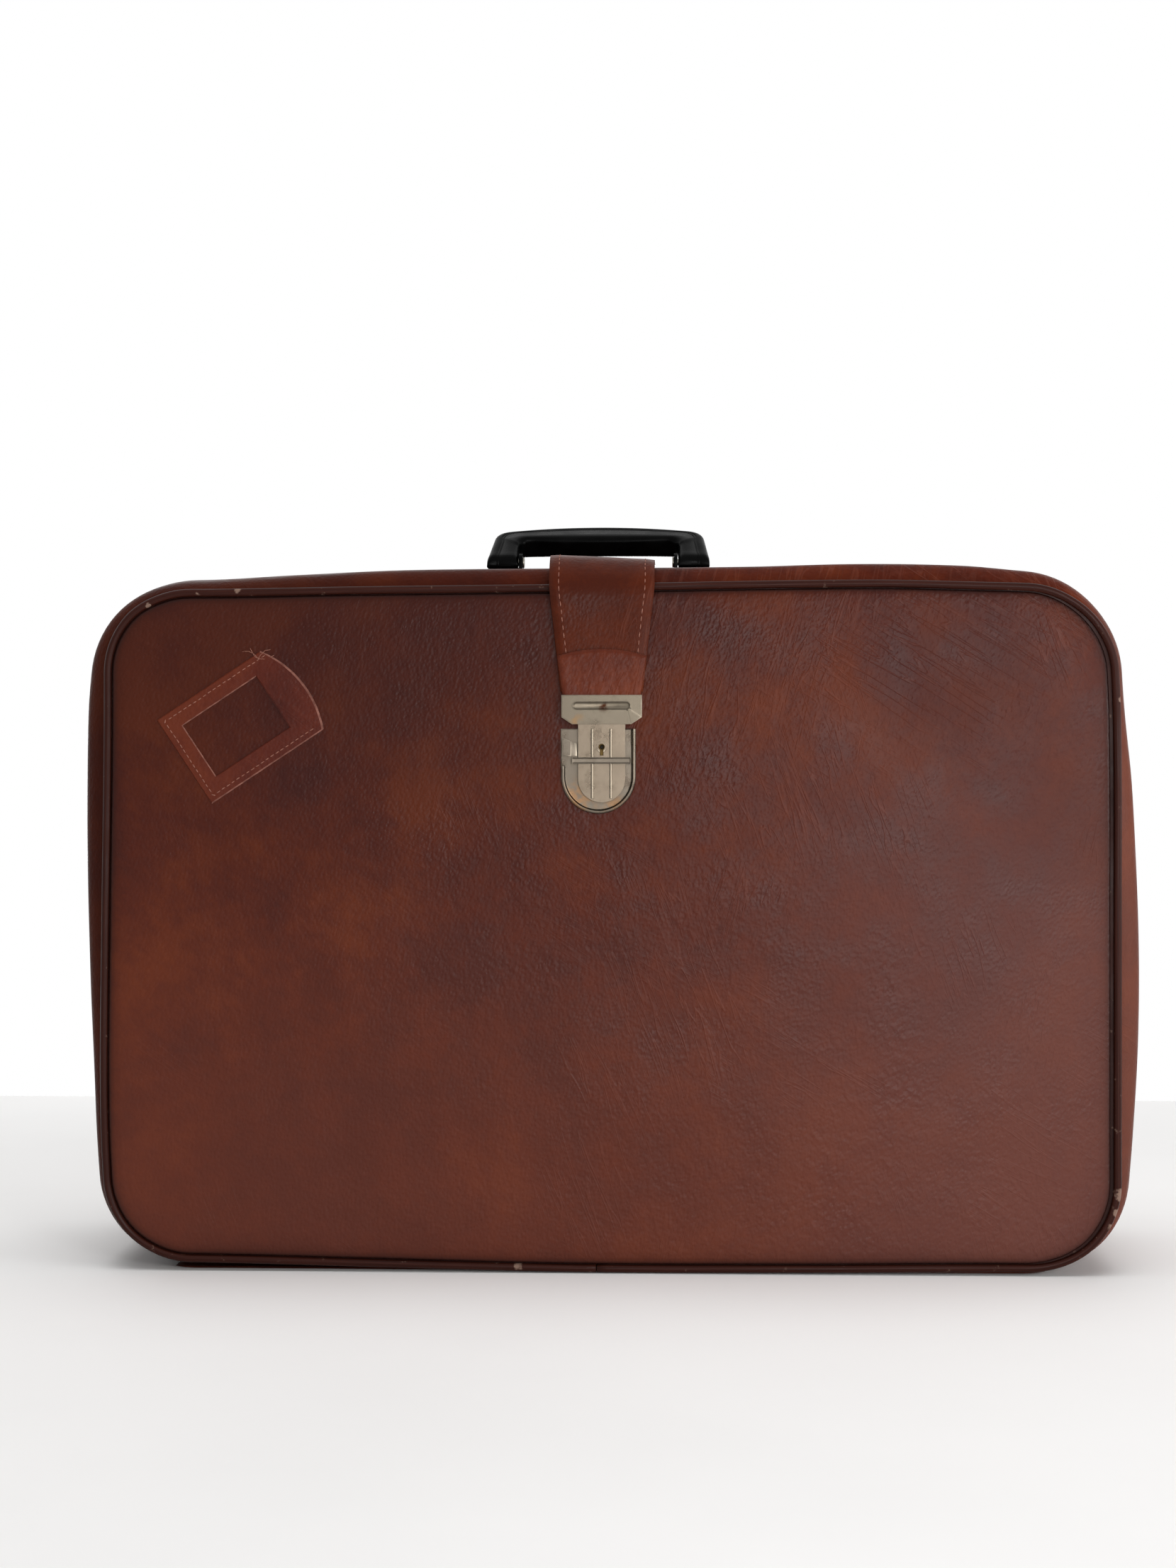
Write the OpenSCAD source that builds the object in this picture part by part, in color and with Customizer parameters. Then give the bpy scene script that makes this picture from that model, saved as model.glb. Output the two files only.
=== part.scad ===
// Vintage travel case: a deep leatherette base, a shallow lid that turns on the bottom edge,
// a folding handle, and a strap whose metal tongue slides under the staple of the lock.
// Millimetres, +Z up. The lid faces -Y and the case stands on z = 0.

/* [Case] */
// Width across the edging
edge_w = 586; // [540:1:640]
// Height across the edging
edge_h = 397; // [370:1:430]
// Depth from the lid's face to the back's face
case_d = 160; // [145:1:185]
// Corner radius of the edging's outer line
corner_r = 52; // [48:0.5:56]
// How far the band swells past the edging
bulge = 10; // [8:0.5:12]
// Radius of the band's rounded shoulders
shoulder_r = 22; // [20:0.5:24]
// Radius of the band's lower corners, seen from the front
foot_r = 66; // [64:0.5:70]
// Radius of the band's upper corners, seen from the front
head_r = 78; // [74:0.5:84]
// Height of the edging's lowest point above the floor
edge_lift = 1; // [0.8:0.1:1.4]

/* [Board, cover and lining] */
// Thickness of the leatherette cover
cover_t = 1.2; // [0.8:0.1:1.5]
// Thickness of the band's board
board_t = 3; // [2:0.1:4]
// Thickness of the paper lining
lining_t = 0.6; // [0.4:0.1:0.8]
// Thickness of the board frame in the mouth
rim_t = 2.5; // [2:0.1:3]
// Depth of the mouth frame
rim_d = 16; // [12:0.5:20]

/* [Lid and edging] */
// Thickness of the panel on the lid and the back
panel_t = 3.8; // [3.2:0.1:4.4]
// Rounding of the panel's edge
panel_round = 3; // [2:0.1:3]
// Diameter of the edging's main bead
bead_d = 4.6; // [4.2:0.1:5.2]
// Diameter of the edging's fine ridge
ridge_d = 2; // [1.8:0.1:2.4]
// Thickness of the edging's sewn flange
flange_t = 0.9; // [0.6:0.1:1.1]
// Gap between the lid and the base's front edge
part_gap = 0.6; // [0.5:0.1:1]
// Clearance of the lid's lip in the mouth frame
lip_clear = 1; // [0.8:0.1:1.5]
// Thickness of the lid's locating lip
lip_t = 2.5; // [2:0.1:3]
// How far the lid's lip reaches into the base
lip_d = 10; // [8:0.5:12]
// Length of the hinge strip
hinge_l = 470; // [420:1:480]

/* [Handle] */
// Overall width of the handle
handle_w = 135; // [125:1:145]
// How far the handle sits to the left of the case's middle
handle_off = 7.5; // [0:0.5:10]
// Width of each leg
leg_w = 19; // [16:0.5:22]
// Pivot to the crest of the grip
grip_rise = 40; // [38:0.5:46]
// Height of the grip at its middle
grip_t = 19; // [16:0.5:20]
// Thickness of the grip from front to back
grip_d = 14; // [12:0.5:16]
// Radius of the arched crest
arch_r = 145; // [130:1:180]
// Angle the handle leans back when it is down
lean = 60; // [50:1:62]
// Radius of the eye at the foot of each leg
eye_r = 5.4; // [5:0.1:5.6]
// Radius of the pivot pins
pin_r = 2; // [1.6:0.1:2.4]
// Height of the pivots above the patch
pivot_h = 7; // [6.9:0.1:8]
// Thickness of the reinforcing patch
patch_t = 1.2; // [0.8:0.1:1.4]
// Radius of the rivets that hold the brackets
rivet_r = 1.6; // [1.2:0.1:1.8]
// How far the patch reaches past each end of the handle
patch_over = 8; // [6:0.5:12]
// Reach of the patch to the front and the back of the pivots
patch_reach = 33; // [32:0.5:36]

/* [Strap and hasp] */
// How far the strap and the lock sit to the left of the case's middle
lock_off = 3; // [0:0.5:6]
// Width of the strap over the top edge
strap_w = 60; // [54:0.5:64]
// Width of the strap at its lower end
strap_low_w = 46; // [45:0.5:48]
// Thickness of each of the strap's two layers
strap_t = 1.4; // [1:0.1:1.5]
// Inner radius of the bend over the top edge
strap_r = 22; // [21.5:0.5:23]
// Gap between the strap's underside and the top of the case
strap_gap = 2.5; // [2.2:0.1:3]
// Drop from the case's top to the upper edge of the hasp plate
hasp_drop = 75.5; // [72:0.5:85]
// Width of the hasp plate
hasp_w = 46; // [45:0.5:48]
// Height of the hasp plate
hasp_h = 16.7; // [15:0.1:18]
// Height of the strap tab above the hasp plate, at the middle
tab_h = 26.5; // [20:0.5:28]
// Rise of the tab's curved upper edge
tab_arc = 4; // [3:0.5:5]
// Width of the tongue
tongue_w = 27; // [25:0.5:27.5]
// Length of the tongue below the hasp plate
tongue_l = 44.8; // [42:0.2:46]
// Thickness of the tongue
tongue_t = 1.2; // [1:0.1:1.3]
// Width of the tongue's two pressed ribs
rib_w = 1.6; // [1.2:0.1:1.6]
// Spacing of the two ribs
rib_s = 10.6; // [10.2:0.1:12]
// Radius of the keyhole
keyhole_r = 1.8; // [1.5:0.1:2]
// Length of the slot below the keyhole's centre
keyhole_l = 4.9; // [4:0.1:5.5]

/* [Lock] */
// Width of the lock plate
lock_w = 43; // [42.5:0.5:46]
// Thickness of the lock plate
plate_t = 1.2; // [1:0.1:1.4]
// Drop from the hasp plate's lower edge to the lock's lowest point
lock_drop = 51.3; // [50.5:0.1:53]
// How far the lock plate sits to the left of the tongue
lock_shift = 2; // [1.5:0.1:2]
// Radius of the rolled rim
rim_r = 1.2; // [1:0.05:1.25]
// Width of each leg of the staple
staple_leg = 3; // [2.4:0.1:3]
// Height of the staple's bar
staple_h = 3.7; // [3:0.1:4.2]
// Thickness of the staple's bar
staple_t = 1.5; // [1.2:0.1:1.8]
// Radius of the key post
post_r = 1; // [0.8:0.05:1.1]

/* [Label pocket] */
// Length of the pocket to the ends of its curved edge
label_l = 73; // [66:0.5:76]
// Width of the pocket
label_w = 58; // [54:0.5:62]
// Rise of the pocket's curved end
label_arc = 7.5; // [5:0.5:9]
// Length of the window
window_l = 51; // [44:0.5:52]
// Width of the window
window_w = 35; // [30:0.5:38]
// Angle of the pocket on the lid
label_turn = 33.5; // [25:0.5:40]
// Distance of the pocket's middle from the left edge
label_in = 83; // [78:1:98]
// Drop from the case's top to the pocket's middle
label_drop = 93; // [90:1:120]
// Thickness of the pocket's sheet
label_t = 1.4; // [1:0.1:1.8]
// Width of the pocket's border left of the window
window_in = 11; // [9:0.5:12]

/* [Hidden] */
$fn = 96;

// How far the rounder corners start outside the flat sides
corner_set = 2;
// Clearance between pieces of one body that are laid together
lay = 0.1;
// Running clearance of a pin in its bore
run = 0.05;
// How far the floor lining stops short of the corners
floor_set = 6;
// Height of the hinge strip's upright leaf
hinge_up = 20;
// How far the label pocket is set to the left of its middle
label_end = 3.5;

// Corner centres of the edging's outer line
cx = edge_w / 2 - corner_r;
cz = edge_h / 2 - corner_r;
zc = edge_lift + edge_h / 2;
top_z = edge_lift + edge_h + bulge;

// Depth stations, lid first
face_y = -case_d / 2;
bead_r = bead_d / 2;
ridge_r = ridge_d / 2;
bead_y = face_y + bead_r + 0.5;
ridge_y = bead_y + bead_r + ridge_r;
panel_y = face_y + panel_t;
lid_back = ridge_y + ridge_r;
base_y = lid_back + part_gap;
back_y = -lid_back - lay;
shoulder_d = shoulder_r * 0.91;
flat_y = base_y + shoulder_d;
flat_back = back_y - shoulder_d;

// Outward offsets from the edging's outer line
panel_n = -bead_d - 0.3;
mouth_n = bulge - shoulder_r;
rim_n = mouth_n - rim_t;
rim_joint = 0.1;
lip_n = rim_n - lip_clear;
wall_t = cover_t + board_t;

// Handle
patch_z = top_z + patch_t;
pivot_z = patch_z + pivot_h;
bracket_t = 1.2;
bracket_z = patch_z + bracket_t;
ear_t = 2.2;
ear_gap = 0.4;
leg_x = handle_w / 2 - leg_w / 2;
ear_out = leg_w / 2 + ear_gap + ear_t;
function leg_at(s) = s * leg_x - handle_off;
bracket_front = 14;
bracket_back = 18;
bore_l = 3 * leg_w;
backing_t = 1.5;
backing_over = 4;
backing_z = top_z - wall_t - lining_t - lay;
rivet_ys = [-10.5, 14.5];

// Strap, hasp and lock; d is the distance forward of the lid's face
strap_z = top_z + strap_gap;
strap_d = 1.4;
strap_cy = face_y - strap_d + strap_r;
strap_cz = strap_z - strap_r;
strap_tail = -24;
hasp_top = top_z - hasp_drop;
hasp_low = hasp_top - hasp_h;
tab_d = strap_d + 2 * strap_t + 0.4;
tab_t = 1.5;
hasp_d = tab_d + tab_t + 0.2;
hasp_t = 1;
back_d = tab_d - 0.5;
tongue_d = hasp_d - tongue_t;
key_z = hasp_low - 13;
staple_z = hasp_low - 20.8;
staple_d = hasp_d + rib_w / 2 + 0.4;
u_r = lock_w / 2;
u_z = hasp_low - lock_drop + u_r;
plate_top = hasp_low - 2.5;
house_d = tongue_d - 0.7;
cam_r = 3.2;
cam_reach = 5.4;
label_z = top_z - label_drop;
label_x = edge_w / 2 - label_in;
label_left = -label_l / 2 - label_end;

// A 2-D profile (x out from the corner centre, y along the depth) carried round the case
module loop(low = true) {
    translate([0, 0, zc + cz]) rotate([0, -90, 0]) linear_extrude(2 * cx, center = true) children();
    translate([cx, 0, zc]) linear_extrude(2 * cz, center = true) children();
    translate([-cx, 0, zc]) rotate([0, 180, 0]) linear_extrude(2 * cz, center = true) children();
    corner(1, 1, -90) children();
    corner(-1, 1, 180) children();
    if (low) {
        translate([0, 0, zc - cz]) rotate([0, 90, 0]) linear_extrude(2 * cx, center = true) children();
        corner(1, -1, 0) children();
        corner(-1, -1, 90) children();
    }
}

module corner(sx, sz, turn) {
    translate([sx * cx, 0, zc + sz * cz]) rotate([-90, 0, 0]) rotate([0, 0, turn])
        rotate_extrude(angle = 90) children();
}

// The same profile with the middle filled between two depths
module filled(y0, y1) {
    loop() children();
    translate([-cx, y0, zc - cz]) cube([2 * cx, y1 - y0, 2 * cz]);
}

// A flat plate whose outline is the edging's line moved out by n
module plate(n, y0, y1) {
    filled(y0, y1) translate([0, y0]) square([corner_r + n, y1 - y0]);
}

module above(z) {
    translate([-edge_w, -case_d, z]) cube([2 * edge_w, 2 * case_d, 2 * edge_h]);
}

// Something drawn as (x, z) about the strap's middle and given depth from d0 to d1 forward of the
// lid's face
module front(d0, d1) {
    translate([-lock_off, face_y - d0, 0]) rotate([90, 0, 0]) linear_extrude(d1 - d0) children();
}

// The band's section, drawn in by o; ext lets an inner one pass through both ends
module band_section(o, ext) {
    s = corner_r + mouth_n;
    translate([0, base_y - ext]) square([s, back_y - base_y + 2 * ext]);
    translate([0, flat_y]) square([corner_r + bulge - o, flat_back - flat_y]);
    intersection() {
        union() {
            translate([s, flat_y]) circle(shoulder_r - o);
            translate([s, flat_back]) circle(shoulder_r - o);
        }
        translate([s, base_y]) square([shoulder_r, back_y - base_y]);
    }
}

// The band's outline from the front, drawn in by o: flat at the floor, rounder at the corners than
// the edging, and clear of the flat sides and top, which the section makes
module band_outline(o) {
    w = edge_w / 2 + bulge + corner_set;
    h = top_z + corner_set;
    translate([-w + o, foot_r]) square([2 * (w - o), h - head_r - foot_r]);
    translate([-w + head_r, foot_r]) square([2 * (w - head_r), h - o - foot_r]);
    translate([-w + foot_r, o]) square([2 * (w - foot_r), foot_r]);
    for (s = [-1, 1]) {
        translate([s * (w - head_r), h - head_r]) circle(head_r - o);
        translate([s * (w - foot_r), foot_r]) circle(foot_r - o);
    }
}

module band_limit(o) {
    translate([0, case_d, 0]) rotate([90, 0, 0]) linear_extrude(2 * case_d) band_outline(o);
}

module band_solid(o, ext = 0) {
    intersection() {
        filled(base_y - ext, back_y + ext) band_section(o, ext);
        band_limit(o);
    }
}

module rivet_holes(extra) {
    for (s = [-1, 1]) for (y = rivet_ys)
        translate([leg_at(s), y, backing_z - 10]) cylinder(r = rivet_r + extra, h = 30);
}

// Base
module band_board() {
    color([0.45, 0.33, 0.22]) difference() {
        band_solid(cover_t);
        band_solid(wall_t, 2);
        rivet_holes(run);
    }
}

module band_cover() {
    color([0.33, 0.14, 0.09]) difference() {
        intersection() {
            band_solid(0);
            above(cover_t);
        }
        band_solid(cover_t, 2);
        rivet_holes(run);
    }
}

module base_sheet() {
    color([0.28, 0.12, 0.08]) difference() {
        band_solid(0);
        above(cover_t);
    }
}

// One strip of the mouth's frame, above the case's middle: a straight side with half a corner at
// each end, where it meets the next strip
module rim_strip(across, up) {
    half = 45 - rim_joint;
    color([0.45, 0.33, 0.22]) translate([0, 0, zc + up]) {
        rotate([0, -90, 0]) linear_extrude(2 * across, center = true) rim_section();
        translate([across, 0, 0]) rotate([-90, 0, 0]) rotate([0, 0, -90])
            rotate_extrude(angle = half) rim_section();
        translate([-across, 0, 0]) rotate([-90, 0, 0]) rotate([0, 0, 270 - half])
            rotate_extrude(angle = half) rim_section();
    }
}

module rim_section() {
    translate([corner_r + rim_n, base_y]) square([rim_t, rim_d]);
}

// Turned about the middle of the case
module about_middle(turn) {
    translate([0, 0, zc]) rotate([0, turn, 0]) translate([0, 0, -zc]) children();
}

module mouth_rim_top() {
    rim_strip(cx, cz);
}

module mouth_rim_bottom() {
    about_middle(180) rim_strip(cx, cz);
}

module mouth_rim_left() {
    about_middle(-90) rim_strip(cz, cx);
}

module mouth_rim_right() {
    about_middle(90) rim_strip(cz, cx);
}

module wall_lining() {
    color([0.72, 0.62, 0.46]) difference() {
        intersection() {
            loop() translate([corner_r + bulge - wall_t - lining_t, flat_y])
                square([lining_t, flat_back - flat_y]);
            band_limit(wall_t + lay);
            above(wall_t + lining_t + lay);
        }
        rivet_holes(run);
    }
}

module floor_lining() {
    color([0.72, 0.62, 0.46]) translate([-cx + floor_set, flat_y, wall_t])
        cube([2 * (cx - floor_set), flat_back - flat_y, lining_t]);
}

module hinge_strip() {
    y0 = lid_back + lining_t + 0.4;
    z0 = edge_lift - rim_n;
    color([0.2, 0.1, 0.07]) translate([-hinge_l / 2, 0, 0]) {
        translate([0, y0, z0]) cube([hinge_l, rim_d * 0.9, 0.8]);
        translate([0, y0, z0]) cube([hinge_l, 0.8, hinge_up]);
    }
}

// Back
module back_panel() {
    color([0.33, 0.14, 0.09]) mirror([0, 1, 0]) covered_panel();
}

module back_board() {
    color([0.45, 0.33, 0.22]) mirror([0, 1, 0]) panel_board();
}

module back_lining() {
    color([0.72, 0.62, 0.46]) plate(mouth_n - 0.5, -lid_back - lining_t, -lid_back);
}

module back_edging() {
    color([0.16, 0.08, 0.06]) mirror([0, 1, 0]) edging();
}

// Lid
module covered_panel() {
    r = corner_r + panel_n - panel_round;
    filled(face_y, panel_y) {
        translate([0, face_y]) square([r, panel_t]);
        translate([r, face_y + panel_round]) square([panel_round, panel_t - panel_round]);
        intersection() {
            translate([r, face_y + panel_round]) circle(panel_round);
            translate([r, face_y]) square(panel_round);
        }
    }
}

module panel_board() {
    y0 = panel_y + flange_t + 2 * lay;
    plate(-bead_d + 0.6, y0, lid_back);
    plate(-bead_d - 11, panel_y + lay, y0);
}

module edging() {
    r = corner_r;
    loop() {
        translate([r - bead_r, bead_y]) circle(bead_r);
        translate([r - ridge_r - 0.2, ridge_y]) circle(ridge_r);
        translate([r - bead_r - 1.1, bead_y]) square([2, ridge_y - bead_y]);
        translate([r - bead_d - 10.4, panel_y + lay]) square([bead_d + 10.4 - bead_r, flange_t]);
    }
}

module lid_panel() {
    color([0.33, 0.14, 0.09]) covered_panel();
}

module lid_board() {
    color([0.45, 0.33, 0.22]) panel_board();
}

module lid_lining() {
    color([0.72, 0.62, 0.46]) plate(lip_n - lip_t - 0.5, lid_back, lid_back + lining_t);
}

module lid_lip() {
    color([0.45, 0.33, 0.22]) loop(false)
        translate([corner_r + lip_n - lip_t, lid_back]) square([lip_t, lip_d]);
}

module lid_edging() {
    color([0.16, 0.08, 0.06]) edging();
}

// Label pocket
module label_shape() {
    arc_r = (label_w * label_w / 4 + label_arc * label_arc) / (2 * label_arc);
    end = label_l / 2 + label_arc - label_end;
    intersection() {
        translate([label_left, -label_w / 2]) square([label_l + label_arc, label_w]);
        translate([end - arc_r, 0]) circle(arc_r);
    }
}

module label_at(d0, d1) {
    translate([-label_x, face_y - d0, label_z]) rotate([0, -label_turn, 0]) rotate([90, 0, 0])
        linear_extrude(d1 - d0) children();
}

module label_pocket() {
    color([0.36, 0.15, 0.1]) label_at(0, label_t) difference() {
        label_shape();
        translate([label_left + window_in, -window_w / 2 + 0.5]) square([window_l, window_w]);
    }
}

// Lock
module u_shape(r, z_end, dx) {
    translate([dx, u_z]) circle(r);
    translate([dx - r, u_z]) square([2 * r, z_end - u_z]);
}

module lock_plate() {
    tube = u_r - rim_r;
    color([0.62, 0.6, 0.54]) {
        front(0, plate_t) u_shape(u_r, plate_top, -lock_shift);
        translate([-lock_shift - lock_off, face_y - plate_t, u_z]) {
            rotate([-90, 0, 0]) rotate_extrude(angle = 180) translate([tube, 0]) circle(rim_r);
            translate([tube, 0, 0]) cylinder(r = rim_r, h = plate_top - u_z);
            translate([-tube, 0, 0]) cylinder(r = rim_r, h = 6);
        }
    }
}

module lock_housing() {
    color([0.55, 0.53, 0.48]) difference() {
        front(plate_t, house_d) {
            translate([0, u_z]) circle(tongue_w / 2 - 0.5);
            translate([-tongue_w / 2 + 0.5, u_z]) square([tongue_w - 1, plate_top - 1 - u_z]);
        }
        front(plate_t + 0.8, house_d + 1) translate([0, key_z]) circle(cam_reach + 0.6);
        front(plate_t - 1, house_d) translate([0, key_z]) circle(post_r);
    }
}

module lock_staple() {
    half = tongue_w / 2 + 0.4;
    color([0.66, 0.64, 0.58]) {
        front(staple_d, staple_d + staple_t) translate([-half - staple_leg, staple_z - staple_h / 2])
            square([2 * (half + staple_leg), staple_h]);
        for (s = [-1, 1]) front(plate_t, staple_d)
            translate([s * (half + staple_leg / 2) - staple_leg / 2, staple_z - staple_h / 2])
                square([staple_leg, staple_h]);
    }
}

module key_post() {
    color([0.5, 0.48, 0.42]) front(plate_t, house_d + 0.3) translate([0, key_z]) circle(post_r - 0.01);
}

module lock_backing() {
    y0 = lid_back + lining_t;
    color([0.55, 0.53, 0.48]) translate([-lock_off, y0 + 0.8, 0]) rotate([90, 0, 0]) linear_extrude(0.8)
        u_shape(u_r + 2, plate_top + 2, -lock_shift);
}

module release_lever() {
    x1 = -tongue_w / 2 - 0.7;
    z0 = staple_z + staple_h / 2 + 0.8;
    color([0.7, 0.68, 0.6]) {
        front(plate_t + 0.5, house_d + 0.2)
            polygon([[x1, z0], [x1, z0 + 7], [x1 - 8.3, z0 + 10.4], [x1 - 8.3, z0]]);
        front(house_d + 0.2, house_d + 1.8)
            polygon([[x1 - 3.2, z0], [x1 - 3.2, z0 + 8.3], [x1 - 8.3, z0 + 10.4], [x1 - 8.3, z0]]);
    }
}

module lock_cam() {
    color([0.6, 0.5, 0.3]) front(plate_t + 1, house_d - 0.3) difference() {
        translate([0, key_z]) {
            circle(cam_r);
            translate([-1.2, -cam_reach + 0.4]) square([2.4, cam_reach - 0.4]);
        }
        translate([0, key_z]) circle(post_r + run);
    }
}

// Strap
module strap_layer(a, b) {
    translate([-lock_off, 0, 0]) intersection() {
        rotate([90, 0, 90]) linear_extrude(strap_w + 20, center = true) {
            translate([strap_cy, strap_z + a]) square([strap_tail - strap_cy, b - a]);
            intersection() {
                difference() {
                    translate([strap_cy, strap_cz]) circle(strap_r + b);
                    translate([strap_cy, strap_cz]) circle(strap_r + a);
                }
                translate([strap_cy - 2 * strap_r, strap_cz]) square(2 * strap_r);
            }
            translate([face_y - strap_d - b, hasp_top + 2]) square([b - a, strap_cz - hasp_top - 2]);
        }
        translate([0, case_d, 0]) rotate([90, 0, 0]) linear_extrude(3 * case_d) polygon([
            [-strap_w / 2, strap_z + 9], [strap_w / 2, strap_z + 9], [strap_w / 2, strap_cz + 6],
            [strap_low_w / 2, hasp_top], [-strap_low_w / 2, hasp_top], [-strap_w / 2, strap_cz + 6]]);
    }
}

module strap_lining() {
    color([0.22, 0.1, 0.07]) strap_layer(0, strap_t);
}

module strap_outer() {
    color([0.36, 0.15, 0.1]) strap_layer(strap_t, 2 * strap_t);
}

// Hasp
module strap_tab() {
    half = strap_low_w / 2 + 2.5;
    inner = hasp_w / 2 - 1.4;
    arc_r = (half * half + tab_arc * tab_arc) / (2 * tab_arc);
    color([0.33, 0.13, 0.09]) front(tab_d, tab_d + tab_t) intersection() {
        polygon([[-half, hasp_top + tab_h + 1], [half, hasp_top + tab_h + 1],
            [half, hasp_top + tab_h - tab_arc], [inner + 0.6, hasp_top + 0.5], [inner, hasp_top],
            [inner, hasp_low + 4.2], [-inner, hasp_low + 4.2], [-inner, hasp_top],
            [-inner - 0.6, hasp_top + 0.5], [-half, hasp_top + tab_h - tab_arc]]);
        translate([0, hasp_top + tab_h - arc_r]) circle(arc_r);
    }
}

module hasp_plate() {
    half = hasp_w / 2;
    rib = hasp_w / 2 - 6.5;
    color([0.66, 0.64, 0.58]) {
        front(hasp_d, hasp_d + hasp_t) polygon([[-half, hasp_top], [half, hasp_top],
            [half, hasp_low + 4], [half - 6, hasp_low], [6 - half, hasp_low], [-half, hasp_low + 4]]);
        front(hasp_d + hasp_t, hasp_d + hasp_t + 0.8) translate([0, hasp_top - 6.2]) {
            translate([-rib + 2.4, -2.4]) square([2 * rib - 4.8, 4.8]);
            translate([rib - 2.4, 0]) circle(2.4);
            translate([2.4 - rib, 0]) circle(2.4);
        }
        for (s = [-1, 1]) front(back_d - 0.9, hasp_d) translate([s * (half - 0.5) - 0.5, hasp_low + 4.5])
            square([1, hasp_h - 6]);
    }
}

module hasp_back() {
    color([0.55, 0.53, 0.48]) front(back_d - 0.9, back_d)
        translate([-hasp_w / 2 + 1, hasp_low + 4.5]) square([hasp_w - 2, hasp_h - 6]);
}

module hasp_tongue() {
    half = tongue_w / 2;
    end = hasp_low - tongue_l;
    color([0.7, 0.68, 0.6]) difference() {
        union() {
            front(tongue_d, hasp_d) {
                translate([-half, end + half]) square([tongue_w, tongue_l + 3.2 - half]);
                translate([0, end + half]) circle(half);
            }
            for (s = [-1, 1]) translate([s * rib_s / 2 - lock_off, face_y - hasp_d, end + 2.4])
                cylinder(r = rib_w / 2, h = tongue_l - 5);
            front(hasp_d, hasp_d + 0.6) translate([0, key_z]) circle(keyhole_r + 1.3);
        }
        front(tongue_d - 1, hasp_d + 2) translate([0, key_z]) {
            circle(keyhole_r);
            translate([-1, -keyhole_l]) square([2, keyhole_l]);
        }
    }
}

// Handle
module handle_patch() {
    color([0.3, 0.12, 0.08]) difference() {
        translate([-handle_off - handle_w / 2 - patch_over, 1 - patch_reach, top_z])
            cube([handle_w + 2 * patch_over, 2 * patch_reach, patch_t]);
        rivet_holes(run);
    }
}

// The bracket of one leg: a foot plate, a stop behind the leg, and one ear on the leg's inner side
module bracket(s) {
    x0 = s > 0 ? -ear_out : -leg_w / 2;
    color([0.08, 0.08, 0.08]) difference() {
        translate([leg_at(s), 0, 0]) {
            translate([x0, -bracket_front, patch_z])
                cube([ear_out + leg_w / 2, bracket_front + bracket_back, bracket_t]);
            translate([x0, 8, bracket_z]) cube([ear_out + leg_w / 2, 2.5, pivot_h - 4.2 + 0.6]);
            translate([-s * (ear_out - ear_t / 2) - ear_t / 2, 0, 0]) {
                translate([0, -eye_r, bracket_z]) cube([ear_t, 2 * eye_r, pivot_z - bracket_z]);
                translate([0, 0, pivot_z]) rotate([0, 90, 0]) cylinder(r = eye_r, h = ear_t);
            }
        }
        translate([leg_at(s), 0, pivot_z]) rotate([0, 90, 0])
            cylinder(r = pin_r + run, h = bore_l, center = true);
        rivet_holes(run);
    }
}

// The pin: its head is inside the ear, and its other end stops just short of the leg's outer side
module pin(s) {
    end = leg_w / 2 - 0.4;
    color([0.6, 0.58, 0.52]) translate([leg_at(s), 0, pivot_z]) rotate([0, 90, 0]) {
        translate([0, 0, s * (end - ear_out) / 2]) cylinder(r = pin_r, h = ear_out + end, center = true);
        translate([0, 0, -s * (ear_out + 0.5)]) cylinder(r = pin_r + 1.2, h = 1, center = true);
    }
}

module rivets(s) {
    color([0.6, 0.58, 0.52]) for (y = rivet_ys) translate([leg_at(s), y, 0]) {
        translate([0, 0, backing_z - backing_t])
            cylinder(r = rivet_r, h = bracket_z - backing_z + backing_t);
        translate([0, 0, bracket_z]) cylinder(r = rivet_r + 1, h = 0.9);
        translate([0, 0, backing_z - backing_t - 0.8]) cylinder(r = rivet_r + 1, h = 0.8);
    }
}

module handle_bracket_left() {
    bracket(-1);
}

module handle_bracket_right() {
    bracket(1);
}

module handle_pin_left() {
    pin(-1);
}

module handle_pin_right() {
    pin(1);
}

module handle_rivets_left() {
    rivets(-1);
}

module handle_rivets_right() {
    rivets(1);
}

module handle_backing() {
    color([0.6, 0.58, 0.52]) difference() {
        translate([-handle_off - handle_w / 2 - backing_over, -bracket_front - 2, backing_z - backing_t])
            cube([handle_w + 2 * backing_over, bracket_front + bracket_back + 4, backing_t]);
        rivet_holes(run);
    }
}

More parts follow.
